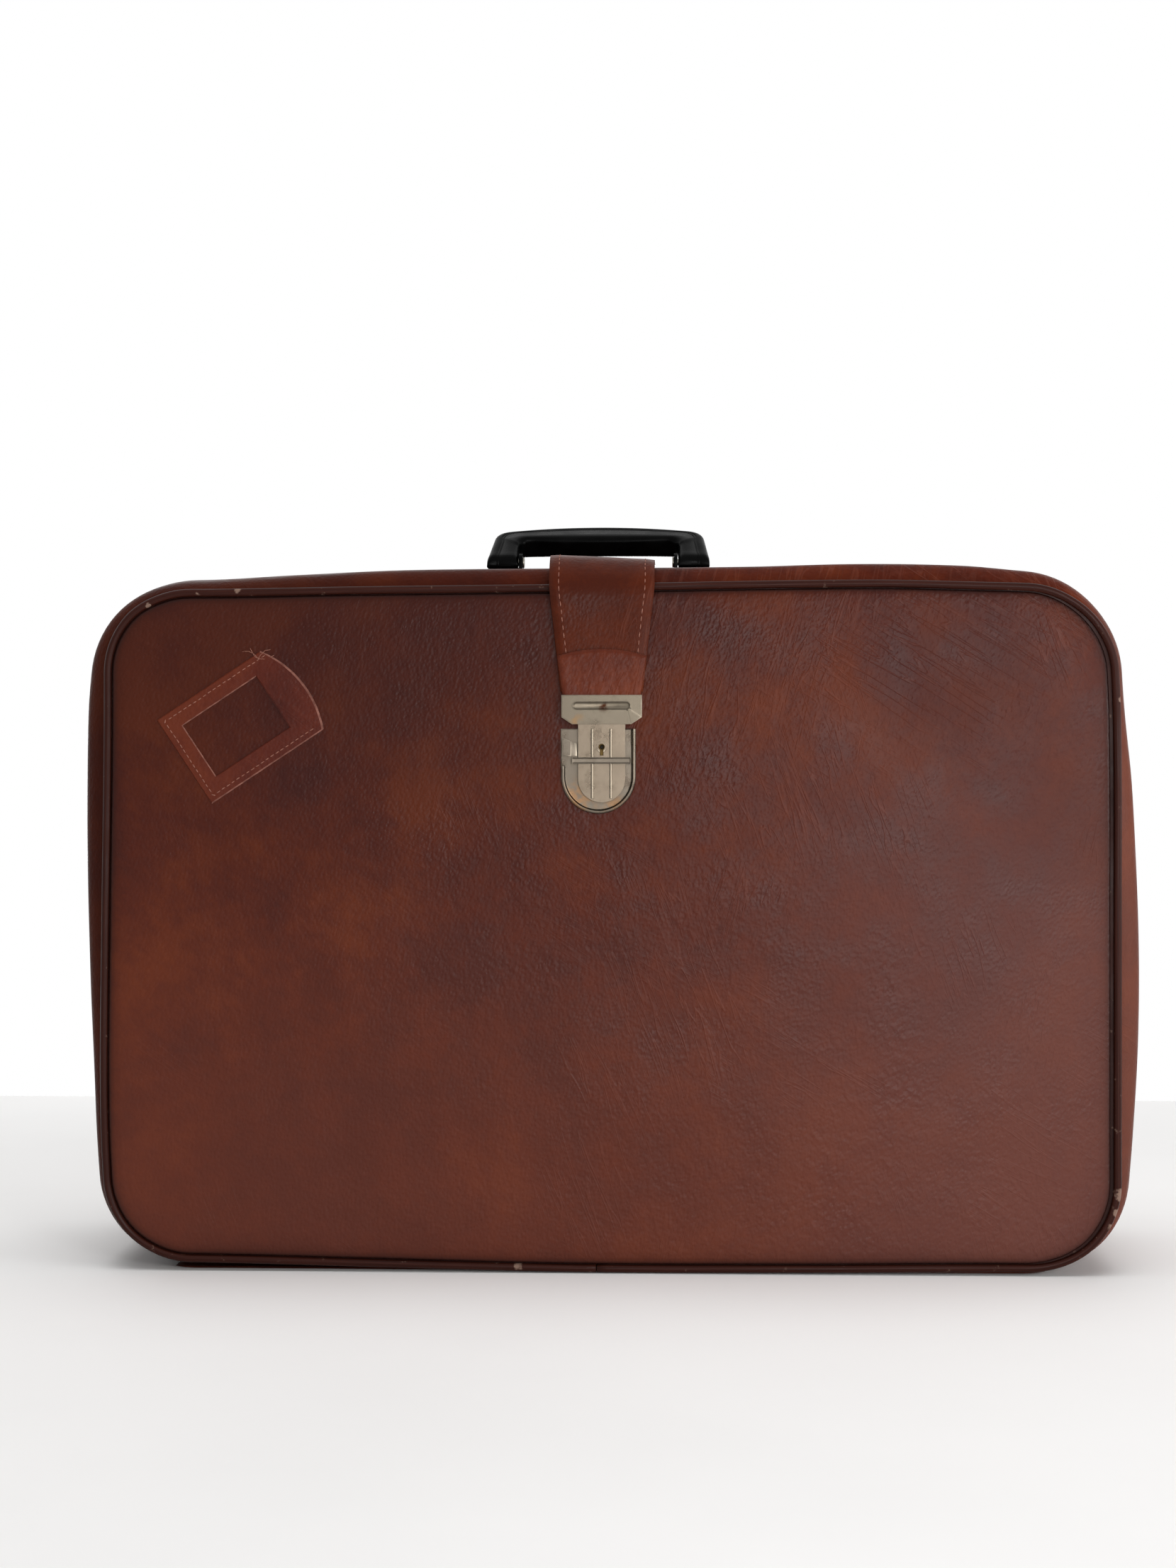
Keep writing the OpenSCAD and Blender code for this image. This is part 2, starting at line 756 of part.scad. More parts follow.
module handle_grip() {
    half = handle_w / 2;
    hole = half - leg_w;
    under = grip_rise - grip_t;
    top = grip_rise - 6;
    color([0.03, 0.03, 0.03]) translate([-handle_off, 0, pivot_z]) rotate([-lean, 0, 0]) difference() {
        intersection() {
            translate([0, 20, 0]) rotate([90, 0, 0]) linear_extrude(40) difference() {
                intersection() {
                    translate([0, grip_rise - arch_r]) circle(arch_r);
                    union() {
                        translate([-half, -eye_r - 1]) square([handle_w, top - 20 + eye_r + 1]);
                        translate([-half + 20, top - 20]) square([handle_w - 40, 40]);
                        for (s = [-1, 1]) translate([s * (half - 20), top - 20]) circle(20);
                    }
                }
                translate([-hole, -eye_r - 2]) square([2 * hole, under + eye_r + 2 - 7]);
                translate([-hole + 7, -eye_r - 2]) square([2 * hole - 14, under + eye_r + 2]);
                for (s = [-1, 1]) translate([s * (hole - 7), under - 7]) circle(7);
            }
            rotate([90, 0, 90]) linear_extrude(handle_w + 20, center = true) {
                circle(eye_r);
                translate([-eye_r, 0]) square([2 * eye_r, under]);
                translate([-grip_d / 2, under - 2]) square([grip_d, grip_t + 2 - 6]);
                translate([-grip_d / 2 + 6, under]) square([grip_d - 12, grip_t]);
                for (s = [-1, 1]) translate([s * (grip_d / 2 - 6), grip_rise - 6]) circle(6);
                for (s = [-1, 1]) translate([s * (grip_d / 2 - 6), under - 2]) circle(6);
            }
        }
        translate([-handle_w, 0, 0]) rotate([0, 90, 0]) cylinder(r = pin_r + run, h = 2 * handle_w);
    }
}

band_board();
band_cover();
base_sheet();
back_panel();
back_board();
back_lining();
back_edging();
mouth_rim_top();
mouth_rim_bottom();
mouth_rim_left();
mouth_rim_right();
wall_lining();
floor_lining();
hinge_strip();
handle_patch();
handle_bracket_left();
handle_bracket_right();
handle_pin_left();
handle_pin_right();
handle_rivets_left();
handle_rivets_right();
handle_backing();
lid_panel();
lid_board();
lid_lining();
lid_lip();
lid_edging();
label_pocket();
lock_plate();
lock_housing();
lock_staple();
key_post();
lock_backing();
strap_outer();
strap_lining();
handle_grip();
strap_tab();
hasp_plate();
hasp_back();
hasp_tongue();
release_lever();
lock_cam();
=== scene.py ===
import math

import bmesh
import bpy
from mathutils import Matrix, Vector, noise


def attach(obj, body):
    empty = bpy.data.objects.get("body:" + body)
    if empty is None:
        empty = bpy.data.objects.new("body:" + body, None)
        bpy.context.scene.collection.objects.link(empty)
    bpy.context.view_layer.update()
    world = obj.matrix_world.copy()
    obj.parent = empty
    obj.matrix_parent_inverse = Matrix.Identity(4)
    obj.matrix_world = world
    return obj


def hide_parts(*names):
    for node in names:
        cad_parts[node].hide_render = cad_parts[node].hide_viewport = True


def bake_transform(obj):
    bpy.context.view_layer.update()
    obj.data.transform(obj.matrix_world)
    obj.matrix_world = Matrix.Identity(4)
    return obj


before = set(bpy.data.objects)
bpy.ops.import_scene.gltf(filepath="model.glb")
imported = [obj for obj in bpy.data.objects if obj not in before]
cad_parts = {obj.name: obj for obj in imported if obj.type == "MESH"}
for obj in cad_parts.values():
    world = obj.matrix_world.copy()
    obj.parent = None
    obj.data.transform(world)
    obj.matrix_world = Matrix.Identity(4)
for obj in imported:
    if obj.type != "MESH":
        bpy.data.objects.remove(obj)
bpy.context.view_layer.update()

# The base's shell: 3 mm millboard bent in one loop round the sides, swollen with age most at the
# lower right and the upper left. The mouth frame, the lid's lip and the flat boards behind the
# panels are cut from the same board and glued in. Sizes here and below are in millimetres.
edge_w = 586
edge_h = 397
edge_lift = 1
corner_r = 52
shoulder_r = 22
shoulder_in = -12
band_front = -72.3
band_back = 72.8
cover_t = 1.2
board_t = 3.0
glue_t = 0.05


def edge_line(spacing=8.0, arc_steps=20):
    """Stations (x, z, out_x, out_z) along the edging's outer line, clockwise from its joint below."""
    half = edge_w / 2 - corner_r
    low = edge_lift
    high = edge_lift + edge_h
    joint = -6.5
    stations = []

    def straight(x0, z0, x1, z1, out):
        steps = round(math.hypot(x1 - x0, z1 - z0) / spacing)
        for i in range(steps):
            t = i / steps
            stations.append((x0 + (x1 - x0) * t, z0 + (z1 - z0) * t, out[0], out[1]))

    def turn(cx, cz, start):
        for i in range(arc_steps):
            a = math.radians(start - 90 * i / arc_steps)
            out = (math.cos(a), math.sin(a))
            stations.append((cx + corner_r * out[0], cz + corner_r * out[1], out[0], out[1]))

    straight(joint, low, -half, low, (0, -1))
    turn(-half, low + corner_r, 270)
    straight(-edge_w / 2, low + corner_r, -edge_w / 2, high - corner_r, (-1, 0))
    turn(-half, high - corner_r, 180)
    straight(-half, high, half, high, (0, 1))
    turn(half, high - corner_r, 90)
    straight(edge_w / 2, high - corner_r, edge_w / 2, low + corner_r, (1, 0))
    turn(half, low + corner_r, 0)
    straight(half, low, joint, low, (0, -1))
    return stations


def round_the_case(*marks):
    """A smooth function of the place on the edge line, through (x, z, value) marks."""
    middle = edge_lift + edge_h / 2

    def place(x, z):
        return math.atan2((z - middle) / edge_h, x / edge_w)

    knots = sorted((place(x, z), v) for x, z, v in marks)
    before = [(a - math.tau, v) for a, v in knots[-2:]]
    after = [(a + math.tau, v) for a, v in knots[:2]]
    knots = before + knots + after

    def value(x, z):
        a = place(x, z)
        k = 1
        while knots[k + 1][0] < a:
            k += 1
        (a0, v0), (a1, v1), (a2, v2), (a3, v3) = knots[k - 1:k + 3]
        t = (a - a1) / (a2 - a1)
        m1 = (v2 - v0) / (a2 - a0) * (a2 - a1)
        m2 = (v3 - v1) / (a3 - a1) * (a2 - a1)
        return ((2 * t ** 3 - 3 * t ** 2 + 1) * v1 + (t ** 3 - 2 * t ** 2 + t) * m1
                + (3 * t ** 2 - 2 * t ** 3) * v2 + (t ** 3 - t ** 2) * m2)

    return value


# How far the worn front edge has moved out from its true line, and how far the sides have swollen
edge_drift = round_the_case(
    (-227, 398, -3.4), (-145, 398, -2.2), (-12, 398, -1), (150, 398, 0.9), (225, 398, -0.8),
    (268, 386, -2.4), (293, 320, 0.8), (293, 200, 1.2), (293, 90, 1.2), (280, 18, 0.9), (246, 1, -1),
    (120, 1, 0.1), (-23, 1, 0.5), (-145, 1, -1.8), (-222, 1, -3.4), (-262, 6, -3.6), (-282, 22, -2.4),
    (-293, 90, 1.1), (-293, 200, 0.5), (-293, 310, -0.9), (-280, 380, -1.3), (-258, 394, -3))
swelling = round_the_case(
    (-293, 60, 6), (-293, 121, 8.2), (-293, 161, 10.3), (-293, 202, 12), (-293, 243, 13.1),
    (-293, 284, 13.4), (-293, 326, 12.8), (-292, 352, 10.6), (-286, 372, 8.6), (-270, 389, 6),
    (-241, 398, 4.2), (-189, 398, 6.6), (-130, 398, 9.2), (-85, 398, 9.9), (0, 398, 10),
    (85, 398, 10.1), (140, 398, 11.2), (205, 398, 10.6), (242, 398, 7.7), (264, 393, 6.2),
    (280, 381, 4.8), (291, 362, 4.3), (293, 340, 4.6), (293, 320, 5.8), (293, 284, 9.5),
    (293, 243, 11.9), (293, 202, 13.6), (293, 161, 14), (293, 121, 13), (293, 80, 10.4),
    (292, 48, 7.6), (284, 23, 5.6), (268, 9, 2.8), (250, 2, 0.7), (235, 1, 1), (0, 1, 1),
    (-235, 1, 1), (-250, 2, 0.7), (-268, 9, 2.2), (-284, 23, 4))


def band_curve(swell, drift, sunk):
    """The band's section as (out, y) from its front lip to its back, drawn in by sunk."""
    reach = 0.91 * shoulder_r
    r = shoulder_r - sunk
    first = math.acos(min(1, reach / r))
    lip = shoulder_in + r * math.sin(first)
    soft = 4
    stretch = (swell - sunk + soft - lip) / (r - r * math.sin(first))
    front_flat = band_front + reach
    back_flat = band_back - reach
    arc = []
    for i in range(10):
        a = first + (math.pi / 2 - first) * i / 9
        out = lip + r * (math.sin(a) - math.sin(first)) * stretch
        near = max(0.0, soft - abs(out - swell + sunk)) / soft
        arc.append((min(out, swell - sunk) - near * near, r * math.cos(a)))
    curve = [(n, front_flat - d) for n, d in arc]
    curve += [(swell - sunk, front_flat + (back_flat - front_flat) * i / 8) for i in range(1, 8)]
    curve += [(n, back_flat + d) for n, d in reversed(arc)]
    drift_from = -50
    drift_over = 22
    return [(n + drift * min(1, max(0, (drift_from - y) / drift_over)), y) for n, y in curve]


def placed(name, data):
    """A new object of the scene that holds a mesh, a lamp or a camera."""
    obj = bpy.data.objects.new(name, data)
    bpy.context.scene.collection.objects.link(obj)
    return obj


def metres(points):
    return [(x / 1000, y / 1000, z / 1000) for x, y, z in points]


def shape(name, points, faces, finish):
    """A closed mesh from points in millimetres, with its faces turned outwards."""
    mesh = bpy.data.meshes.new(name)
    mesh.from_pydata(metres(points), [], faces)
    work = bmesh.new()
    work.from_mesh(mesh)
    bmesh.ops.remove_doubles(work, verts=work.verts, dist=1e-7)
    bmesh.ops.recalc_face_normals(work, faces=work.faces)
    for face in work.faces:
        face.smooth = True
    work.to_mesh(mesh)
    work.free()
    mesh.materials.append(finish.mat)
    return placed(name, mesh)


def skin(count, m, ring=False):
    """Faces between closed rows of m points each; a ring also joins the last row to the first."""
    faces = []
    for i in range(count if ring else count - 1):
        after = (i + 1) % count
        for j in range(m):
            k = (j + 1) % m
            faces.append((i * m + j, i * m + k, after * m + k, after * m + j))
    return faces


def caps(count, m):
    """The two end faces of count rows of m points."""
    return [tuple(range(m)), tuple(range((count - 1) * m, count * m))]


def sweep(name, stations, section, finish, ring=False):
    """A piece that carries section(x, z), a list of (out, y), along the stations."""
    points = []
    for x, z, ox, oz in stations:
        edge = section(x, z)
        points += [(x + ox * n, y, z + oz * n) for n, y in edge]
    count = len(stations)
    faces = skin(count, len(edge), ring)
    if not ring:
        faces += caps(count, len(edge))
    return shape(name, points, faces, finish)


def srgb(r, g, b):
    """A colour as it is seen, 0 to 255, for a shader."""
    def linear(c):
        c = c / 255
        return c / 12.92 if c < 0.04045 else ((c + 0.055) / 1.055) ** 2.4
    return (linear(r), linear(g), linear(b), 1)


def feed(tree, socket, value):
    """Sets a node's socket to a value, or links it to another socket."""
    if isinstance(value, bpy.types.NodeSocket):
        tree.links.new(value, socket)
    else:
        socket.default_value = value


def add_node(tree, kind, fed=None, **settings):
    """A new node with its settings and what is fed to its sockets."""
    made = tree.nodes.new(kind)
    for key, value in settings.items():
        setattr(made, key, value)
    for socket, value in (fed or {}).items():
        feed(tree, made.inputs[socket], value)
    return made


class Finish:
    """A procedural finish on Object coordinates: its shader, its tones and its relief."""

    def __init__(self, name, rough, metal=0.0):
        self.mat = bpy.data.materials.new(name)
        self.mat.use_nodes = True
        self.tree = self.mat.node_tree
        self.shader = self.tree.nodes["Principled BSDF"]
        self.set("Roughness", rough)
        self.set("Metallic", metal)
        self.place = self.node("ShaderNodeTexCoord").outputs["Object"]
        self.relief = None

    def set(self, name, value):
        feed(self.tree, self.shader.inputs[name], value)

    def node(self, kind, fed=None, **settings):
        return add_node(self.tree, kind, fed, **settings)

    def laid(self, stretch, turn=(0, 0, 0)):
        """Object coordinates turned, then stretched."""
        fed = {"Vector": self.place, "Scale": [1 / s for s in stretch],
               "Rotation": [math.radians(a) for a in turn]}
        return self.node("ShaderNodeMapping", fed, vector_type="TEXTURE").outputs["Vector"]

    def noise(self, scale, detail=3.0, rough=0.5, at=None, warp=0.0):
        fed = {"Vector": at or self.place, "Scale": scale, "Detail": detail, "Roughness": rough,
               "Distortion": warp}
        return self.node("ShaderNodeTexNoise", fed).outputs["Fac"]

    def cells(self, scale, feature="F1", at=None):
        fed = {"Vector": at or self.place, "Scale": scale}
        return self.node("ShaderNodeTexVoronoi", fed, feature=feature).outputs["Distance"]

    def math(self, operation, a, b=0.0):
        return self.node("ShaderNodeMath", {0: a, 1: b}, operation=operation).outputs[0]

    def between(self, value, low, high, out_low=0.0, out_high=1.0):
        """The value's place between low and high, eased, from out_low to out_high."""
        fed = {"Value": value, "From Min": low, "From Max": high, "To Min": out_low, "To Max": out_high}
        return self.node("ShaderNodeMapRange", fed, interpolation_type="SMOOTHSTEP").outputs["Result"]

    def tones(self, value, *stops):
        made = self.node("ShaderNodeValToRGB", {"Fac": value})
        ramp = made.color_ramp
        while len(ramp.elements) < len(stops):
            ramp.elements.new(0.5)
        for element, (place, colour) in zip(ramp.elements, stops):
            element.position = place
            element.color = colour
        return made.outputs["Color"]

    def blend(self, share, a, b):
        return self.node("ShaderNodeMix", {0: share, 6: a, 7: b}, data_type="RGBA").outputs[2]

    def near(self, point, radius, soft):
        """1 round a point of the piece, in millimetres, falling to 0 at the radius."""
        fed = {0: self.place, 1: [c / 1000 for c in point]}
        gap = self.node("ShaderNodeVectorMath", fed, operation="DISTANCE").outputs["Value"]
        return self.between(gap, radius * soft / 1000, radius / 1000, 1.0, 0.0)

    def mark(self, name):
        """A value that the mesh carries on its points."""
        return self.node("ShaderNodeAttribute", attribute_name=name).outputs["Fac"]

    def along(self, axis, low, high, out_low=0.0, out_high=1.0):
        """The place along an axis, in metres, eased as in between."""
        place = self.node("ShaderNodeSeparateXYZ", {0: self.place}).outputs[axis]
        return self.between(place, low, high, out_low, out_high)

    def paint(self, colour):
        self.set("Base Color", colour)

    def wear(self, share, colour):
        """Lays a colour over what is painted, by its share."""
        painted = self.shader.inputs["Base Color"].links[0].from_socket
        self.paint(self.blend(share, painted, colour))

    def shine(self, level):
        self.set("Specular IOR Level", level)

    def gloss(self, value, low, high):
        self.set("Roughness", self.between(value, 0.3, 0.7, low, high))

    def press(self, height, depth):
        """Relief of that depth in millimetres, on top of what is there."""
        fed = {"Height": height, "Distance": depth / 1000}
        if self.relief:
            fed["Normal"] = self.relief
        self.relief = self.node("ShaderNodeBump", fed).outputs["Normal"]
        self.set("Normal", self.relief)


def dress(finish, *nodes):
    """Gives a finish to CAD nodes that are shown in their own shape."""
    for node in nodes:
        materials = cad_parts[node].data.materials
        materials.clear()
        materials.append(finish.mat)


millboard = Finish("millboard", 0.9)
fibres = millboard.noise(90, 6, 0.7, millboard.laid((1, 1, 6)))
millboard.paint(millboard.tones(fibres, (0.3, srgb(104, 84, 62)), (0.55, srgb(128, 105, 78)),
                                (0.75, srgb(150, 126, 96))))
millboard.press(fibres, 0.25)

line = edge_line()


def board_section(x, z):
    swell = swelling(x, z)
    drift = edge_drift(x, z)
    inside = band_front + cover_t + 0.1
    outer = [(n, max(y, inside)) for n, y in band_curve(swell, drift, cover_t + glue_t)]
    inner = [(n, max(y, inside + 0.4)) for n, y in band_curve(swell, drift, cover_t + board_t)]
    return [(shoulder_in, inside)] + outer + [(shoulder_in, band_back)] + inner[::-1]


shell = sweep("shell_board", line, board_section, millboard, ring=True)
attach(shell, "case")
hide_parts("band_board")
dress(millboard, "back_board", "mouth_rim_top", "mouth_rim_bottom", "mouth_rim_left", "mouth_rim_right",
      "lid_board", "lid_lip")

# The lining: buff paper pasted on the inside walls, the floor, the back and the lid, with a faint
# woven print, foxed and a little darker with age.
lining_t = 0.6
lining_reach = 52
paper = Finish("lining_paper", 0.85)
warp = paper.cells(380, at=paper.laid((1, 1, 0.25)))
weft = paper.cells(380, at=paper.laid((0.25, 1, 1)))
weave = paper.math("MULTIPLY", warp, weft)
ageing = paper.noise(9, 5, 0.6)
foxing = paper.between(paper.noise(60, 2), 0.66, 0.74)
buff = paper.tones(ageing, (0.3, srgb(160, 134, 96)), (0.5, srgb(186, 162, 122)),
                   (0.7, srgb(200, 178, 140)))
buff = paper.blend(paper.between(weave, 0.05, 0.3, 0.0, 0.35), buff, srgb(140, 112, 78))
paper.paint(paper.blend(foxing, buff, srgb(134, 98, 60)))
paper.press(weave, 0.06)


def lining_section(x, z):
    swell = swelling(x, z) - cover_t - board_t - glue_t
    ys = [13 * i - lining_reach for i in range(9)]
    return [(swell, y) for y in ys] + [(swell - lining_t, y) for y in reversed(ys)]


# The walls and the top alone: where the edge line faces down, the floor has a sheet of its own
walls = sweep("wall_paper", [s for s in line if s[3] > -0.86], lining_section, paper)
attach(walls, "case")
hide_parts("wall_lining")
dress(paper, "floor_lining", "back_lining", "lid_lining")

# The cover: red-brown leatherette, a coated cloth pressed with a fine leather grain, glued round
# the shell and turned over its front edge. It is mottled with age and creased where it has worked.


def leatherette(name, dark, body, warm, crease=1.0, grain=1.0):
    """The coated cloth in three tones, with its pressed grain and its worked creases."""
    f = Finish(name, 0.4)
    f.shine(0.13)
    broad = f.noise(7, 3, 0.55, warp=0.6)
    patch = f.noise(26, 4, 0.6)
    fine = f.noise(210, 4, 0.65)
    tone = f.math("ADD", f.math("MULTIPLY", broad, 0.56), f.math("MULTIPLY", patch, 0.3))
    tone = f.math("ADD", tone, f.math("MULTIPLY", fine, 0.14))
    colour = f.tones(tone, (0.4, dark), (0.5, body), (0.6, warm))
    # Long creases in patches: some lean right, some left, and a few lie flatter
    right = f.along("X", -0.2, 0.15, 0.3, 1.0)
    crease_and_glint = None
    for lean, spread in ((14, 17), (-20, 15), (-58, 13)):
        lay = f.laid((150, 1, spread), (0, lean, 0))
        ridge = f.math("ABSOLUTE", f.math("SUBTRACT", f.noise(1.0, 2, 0.5, lay, 0.7), 0.5))
        group = f.between(f.noise(9, 2, 0.5, f.laid((1, 1, 1), (0, 3 * lean, 0))), 0.5, 0.72)
        lines = f.math("MULTIPLY", f.between(ridge, 0.0, 0.036, 1.0, 0.0), group)
        crease_and_glint = lines if crease_and_glint is None else f.math("MAXIMUM", crease_and_glint, lines)
    crease_and_glint = f.math("MULTIPLY", crease_and_glint, right)
    worked = f.math("MULTIPLY", f.between(f.noise(11, 2, 0.5), 0.3, 0.72), right)
    pores = f.cells(620, "SMOOTH_F1", f.laid((1.0, 1.0, 0.72), (0, 20, 0)))
    pebbles = f.math("MULTIPLY", f.cells(300, "SMOOTH_F1", f.laid((1.0, 1.0, 0.8))), worked)
    # The creases are painted lighter, as painted highlight where they catch the light
    f.paint(f.blend(f.math("MULTIPLY", crease_and_glint, 0.13), colour, srgb(150, 92, 76)))
    f.gloss(patch, 0.3, 0.44)
    f.press(f.noise(38, 3, 0.6), 0.4 * crease)
    f.press(pebbles, 0.3 * crease)
    f.press(crease_and_glint, 0.16 * crease)
    f.press(f.math("ADD", pores, f.math("MULTIPLY", fine, 0.6)), 0.2 * grain)
    return f


side_hide = leatherette("side_leatherette", srgb(60, 23, 15), srgb(78, 30, 17), srgb(94, 40, 20), 1.2)
side_hide.shine(0.05)
# Painted shade darkens the band towards its left end, and painted light lightens it at its right end
shaded = side_hide.along("X", 0.1, -0.2, 0.0, 0.6)
side_hide.wear(shaded, srgb(40, 14, 8))
painted_light_right_end = side_hide.along("X", 0.26, 0.3, 0.0, 0.4)
side_hide.wear(painted_light_right_end, srgb(128, 84, 72))


def cover_section(x, z):
    swell = swelling(x, z)
    drift = edge_drift(x, z)
    outer = band_curve(swell, drift, 0)
    inner = [(n, max(y, band_front + cover_t)) for n, y in band_curve(swell, drift, cover_t)]
    lip = outer[0][0]
    turned = [(shoulder_in, band_front), (lip - 3, band_front), (lip - 1.2, band_front + 0.12)]
    inner_end = [(shoulder_in, band_front + cover_t)]
    return turned + outer + inner[::-1] + inner_end


# The cover stops at the flat bottom, which has the sheet that the case stands on
cover = sweep("side_cover", [s for s in line if s[3] > -0.985], cover_section, side_hide)
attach(cover, "case")
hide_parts("band_cover")
dress(side_hide, "base_sheet")

# The front of the lid and the back of the base: leatherette over board, its edge rolled under all
# round into the groove of the edging. The front has softened into shallow waves, which the lock and
# the label hold flat, and its edge has slumped at the upper right corner.
panel_in = -4.9
face_d = 80.0
panel_d = 76.2
wave_depth = 0.7
right_inset = 1.6
border = 5
slump_at = (275, 378)
slump_spread = 2600
slump_depth = 3.6
slump_in = 45
held_flat = ((0, 320, 110), (-210, 315, 75))
front_hide = leatherette("front_leatherette", srgb(61, 22, 16), srgb(79, 29, 14), srgb(98, 41, 16))
# Lighter towards the bottom, as painted light bounced from the floor
painted_bounce_light = front_hide.along("Z", 0.3, 0.02, 0.0, 0.55)
front_hide.wear(painted_bounce_light, srgb(102, 52, 38))
# Painted shade darkens the upper left
painted_shade_upper_left = front_hide.math("MULTIPLY", front_hide.along("Z", 0.14, 0.4, 0.0, 0.75),
                          front_hide.along("X", 0.2, -0.15))
front_hide.wear(painted_shade_upper_left, srgb(48, 12, 5))
# A painted sheen greys the right side
painted_sheen_right = front_hide.math("MULTIPLY", front_hide.along("X", 0.0, 0.26, 0.0, 0.5),
                           front_hide.along("Z", 0.4, 0.2))
front_hide.wear(painted_sheen_right, srgb(98, 62, 57))
# Two darker purple-brown patches, at the upper right and by the right edge
for point, radius, share in (((200, -80, 352), 100, 0.5), ((285, -80, 270), 80, 0.4)):
    darker_patch = front_hide.math("MULTIPLY", front_hide.near(point, radius, 0.1), share)
    front_hide.wear(darker_patch, srgb(58, 25, 23))
# Painted shade darkens the rolled rim where it runs into the edging's groove
groove = front_hide.mark("edge")
front_hide.wear(groove, srgb(24, 8, 6))


def panel(name, side, drifts, finish):
    """A covered panel that faces -Y or +Y, with a value called edge on the points of its rolled rim."""
    rim = [(0, panel_d), (0, 77.3), (-0.25, 78.2), (-0.9, 78.95), (-2.1, 79.5), (-4.2, 79.8),
           (-8, 79.95), (-15, 80)]
    # How much painted shade each ring of the rolled rim takes where it runs into the groove
    dark = [1, 1, 1, 0.8, 0.45, 0.2, 0.06, 0]
    middle = edge_lift + edge_h / 2
    stations = []
    for x, z, ox, oz in edge_line(8, 18):
        inset = panel_in
        if drifts:
            inset += edge_drift(x, z) - right_inset * max(0, ox)
        stations.append((x + ox * inset, z + oz * inset, ox, oz))

    def slump(px, pz):
        """How far the front's edge has sunk round its upper right corner."""
        if not drifts:
            return 0
        right = edge_w / 2 - border
        top = edge_lift + edge_h - border
        r = corner_r - border
        inside = min(right - px, top - pz)
        if px > right - r and pz > top - r:
            inside = r - math.hypot(px - right + r, pz - top + r)
        near = math.exp(-((px - slump_at[0]) ** 2 + (pz - slump_at[1]) ** 2) / slump_spread)
        return slump_depth * near * max(0, 1 - inside / slump_in) ** 2

    points = []
    marks = []
    for (n, d), value in zip(rim, dark):
        for x, z, ox, oz in stations:
            sunk = slump(x + ox * n, z + oz * n) * max(0, (d - panel_d) / (face_d - panel_d))
            points.append((x + ox * n, side * (d - sunk), z + oz * n))
        marks += [value] * len(stations)
    last = points[-len(stations):]
    rings = 26
    for i in range(1, rings):
        t = 1 - i / rings
        for x, y, z in last:
            px = x * t
            pz = middle + (z - middle) * t
            soft = min(1, i / 5)
            for cx, cz, r in held_flat:
                soft *= min(1, max(0, math.hypot(px - cx, pz - cz) / r - 0.6) * 2.5)
            wave = noise.noise(Vector((px * 0.011, pz * 0.013, 3.7 * side)))
            wave += 0.5 * noise.noise(Vector((px * 0.03, pz * 0.026, 8.1)))
            dent = wave_depth * soft * max(0, 0.35 + wave) + slump(px, pz)
            points.append((px, side * (face_d - dent), pz))
            marks.append(0)
    m = len(stations)
    total = len(rim) + rings - 1
    faces = skin(total, m)
    points.append((0, side * face_d, middle))
    marks.append(0)
    for j in range(m):
        faces.append(((total - 1) * m + j, (total - 1) * m + (j + 1) % m, total * m))
    faces.append(tuple(range(m)))
    obj = shape(name, points, faces, finish)
    rim_mark = obj.data.attributes.new("edge", "FLOAT", "POINT")
    rim_mark.data.foreach_set("value", marks)
    return obj


lid_face = panel("lid_face", -1, True, front_hide)
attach(lid_face, "lid")
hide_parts("lid_panel")
back_face = panel("back_face", 1, False, front_hide)
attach(back_face, "case")
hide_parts("back_panel")

# The edging: dark brown extruded plastic, a 4.6 mm bead with a fine second ridge, sewn in by a
# flange between panel and board. It runs round in one length and butts at the bottom's middle.
bead_r = 2.3
ridge_r = 1.0
bead_y = -77.2
flange_front = -76.1
flange_back = -75.2
flange_in = -15


def extruded_plastic(name):
    """Dark brown plastic, streaked along its length, with pale scuffs, most of them at seven bare spots."""
    f = Finish(name, 0.36)
    f.shine(0.1)
    run = f.node("ShaderNodeCombineXYZ", {0: f.mark("along"), 1: f.mark("across")}).outputs[0]
    lay = f.node("ShaderNodeMapping", {"Vector": run, "Scale": (14, 30, 1)}).outputs["Vector"]
    streaks = f.noise(1.0, 4, 0.6, lay)
    brown = f.tones(streaks, (0.3, srgb(36, 13, 8)), (0.55, srgb(52, 22, 15)), (0.8, srgb(66, 34, 26)))
    bare = None
    for *point, radius in ((292, -79, 47, 6), (291, -79, 36, 4), (288, -79, 28, 4), (-51, -79, 4, 5),
                           (-214, -79, 394, 4), (293, -78, 330, 3), (-266, -79, 385, 3)):
        here = f.near(point, radius, 0.3)
        bare = here if bare is None else f.math("MAXIMUM", bare, here)
    scuffs = f.math("ADD", f.noise(150, 3, 0.7), f.math("MULTIPLY", bare, 0.28))
    f.paint(f.blend(f.between(scuffs, 0.64, 0.8, 0.0, 0.8), brown, srgb(140, 114, 100)))
    handling = f.noise(34, 4, 0.6)
    f.gloss(handling, 0.28, 0.46)
    f.press(streaks, 0.08)
    f.press(f.noise(420, 3), 0.03)
    return f


edging_plastic = extruded_plastic("edging_plastic")


def edging_ring(side):
    """The edging's section as (out, y)."""
    ridge_y = bead_y + bead_r + ridge_r
    ring = [(n, flange_front) for n in (flange_in, -9, -4.5)]
    for n, y, r, start, end, steps in ((-bead_r, bead_y, bead_r, 152, 396, 14),
                                       (-1.2, ridge_y, ridge_r, -62, 180, 8)):
        for i in range(steps + 1):
            a = math.radians(start + (end - start) * i / steps)
            ring.append((n + r * math.cos(a), y + r * math.sin(a)))
    ring.append((-3.4, ridge_y))
    ring += [(n, flange_back) for n in (-3.4, -9, flange_in)]
    return [(n, -side * y) for n, y in ring]


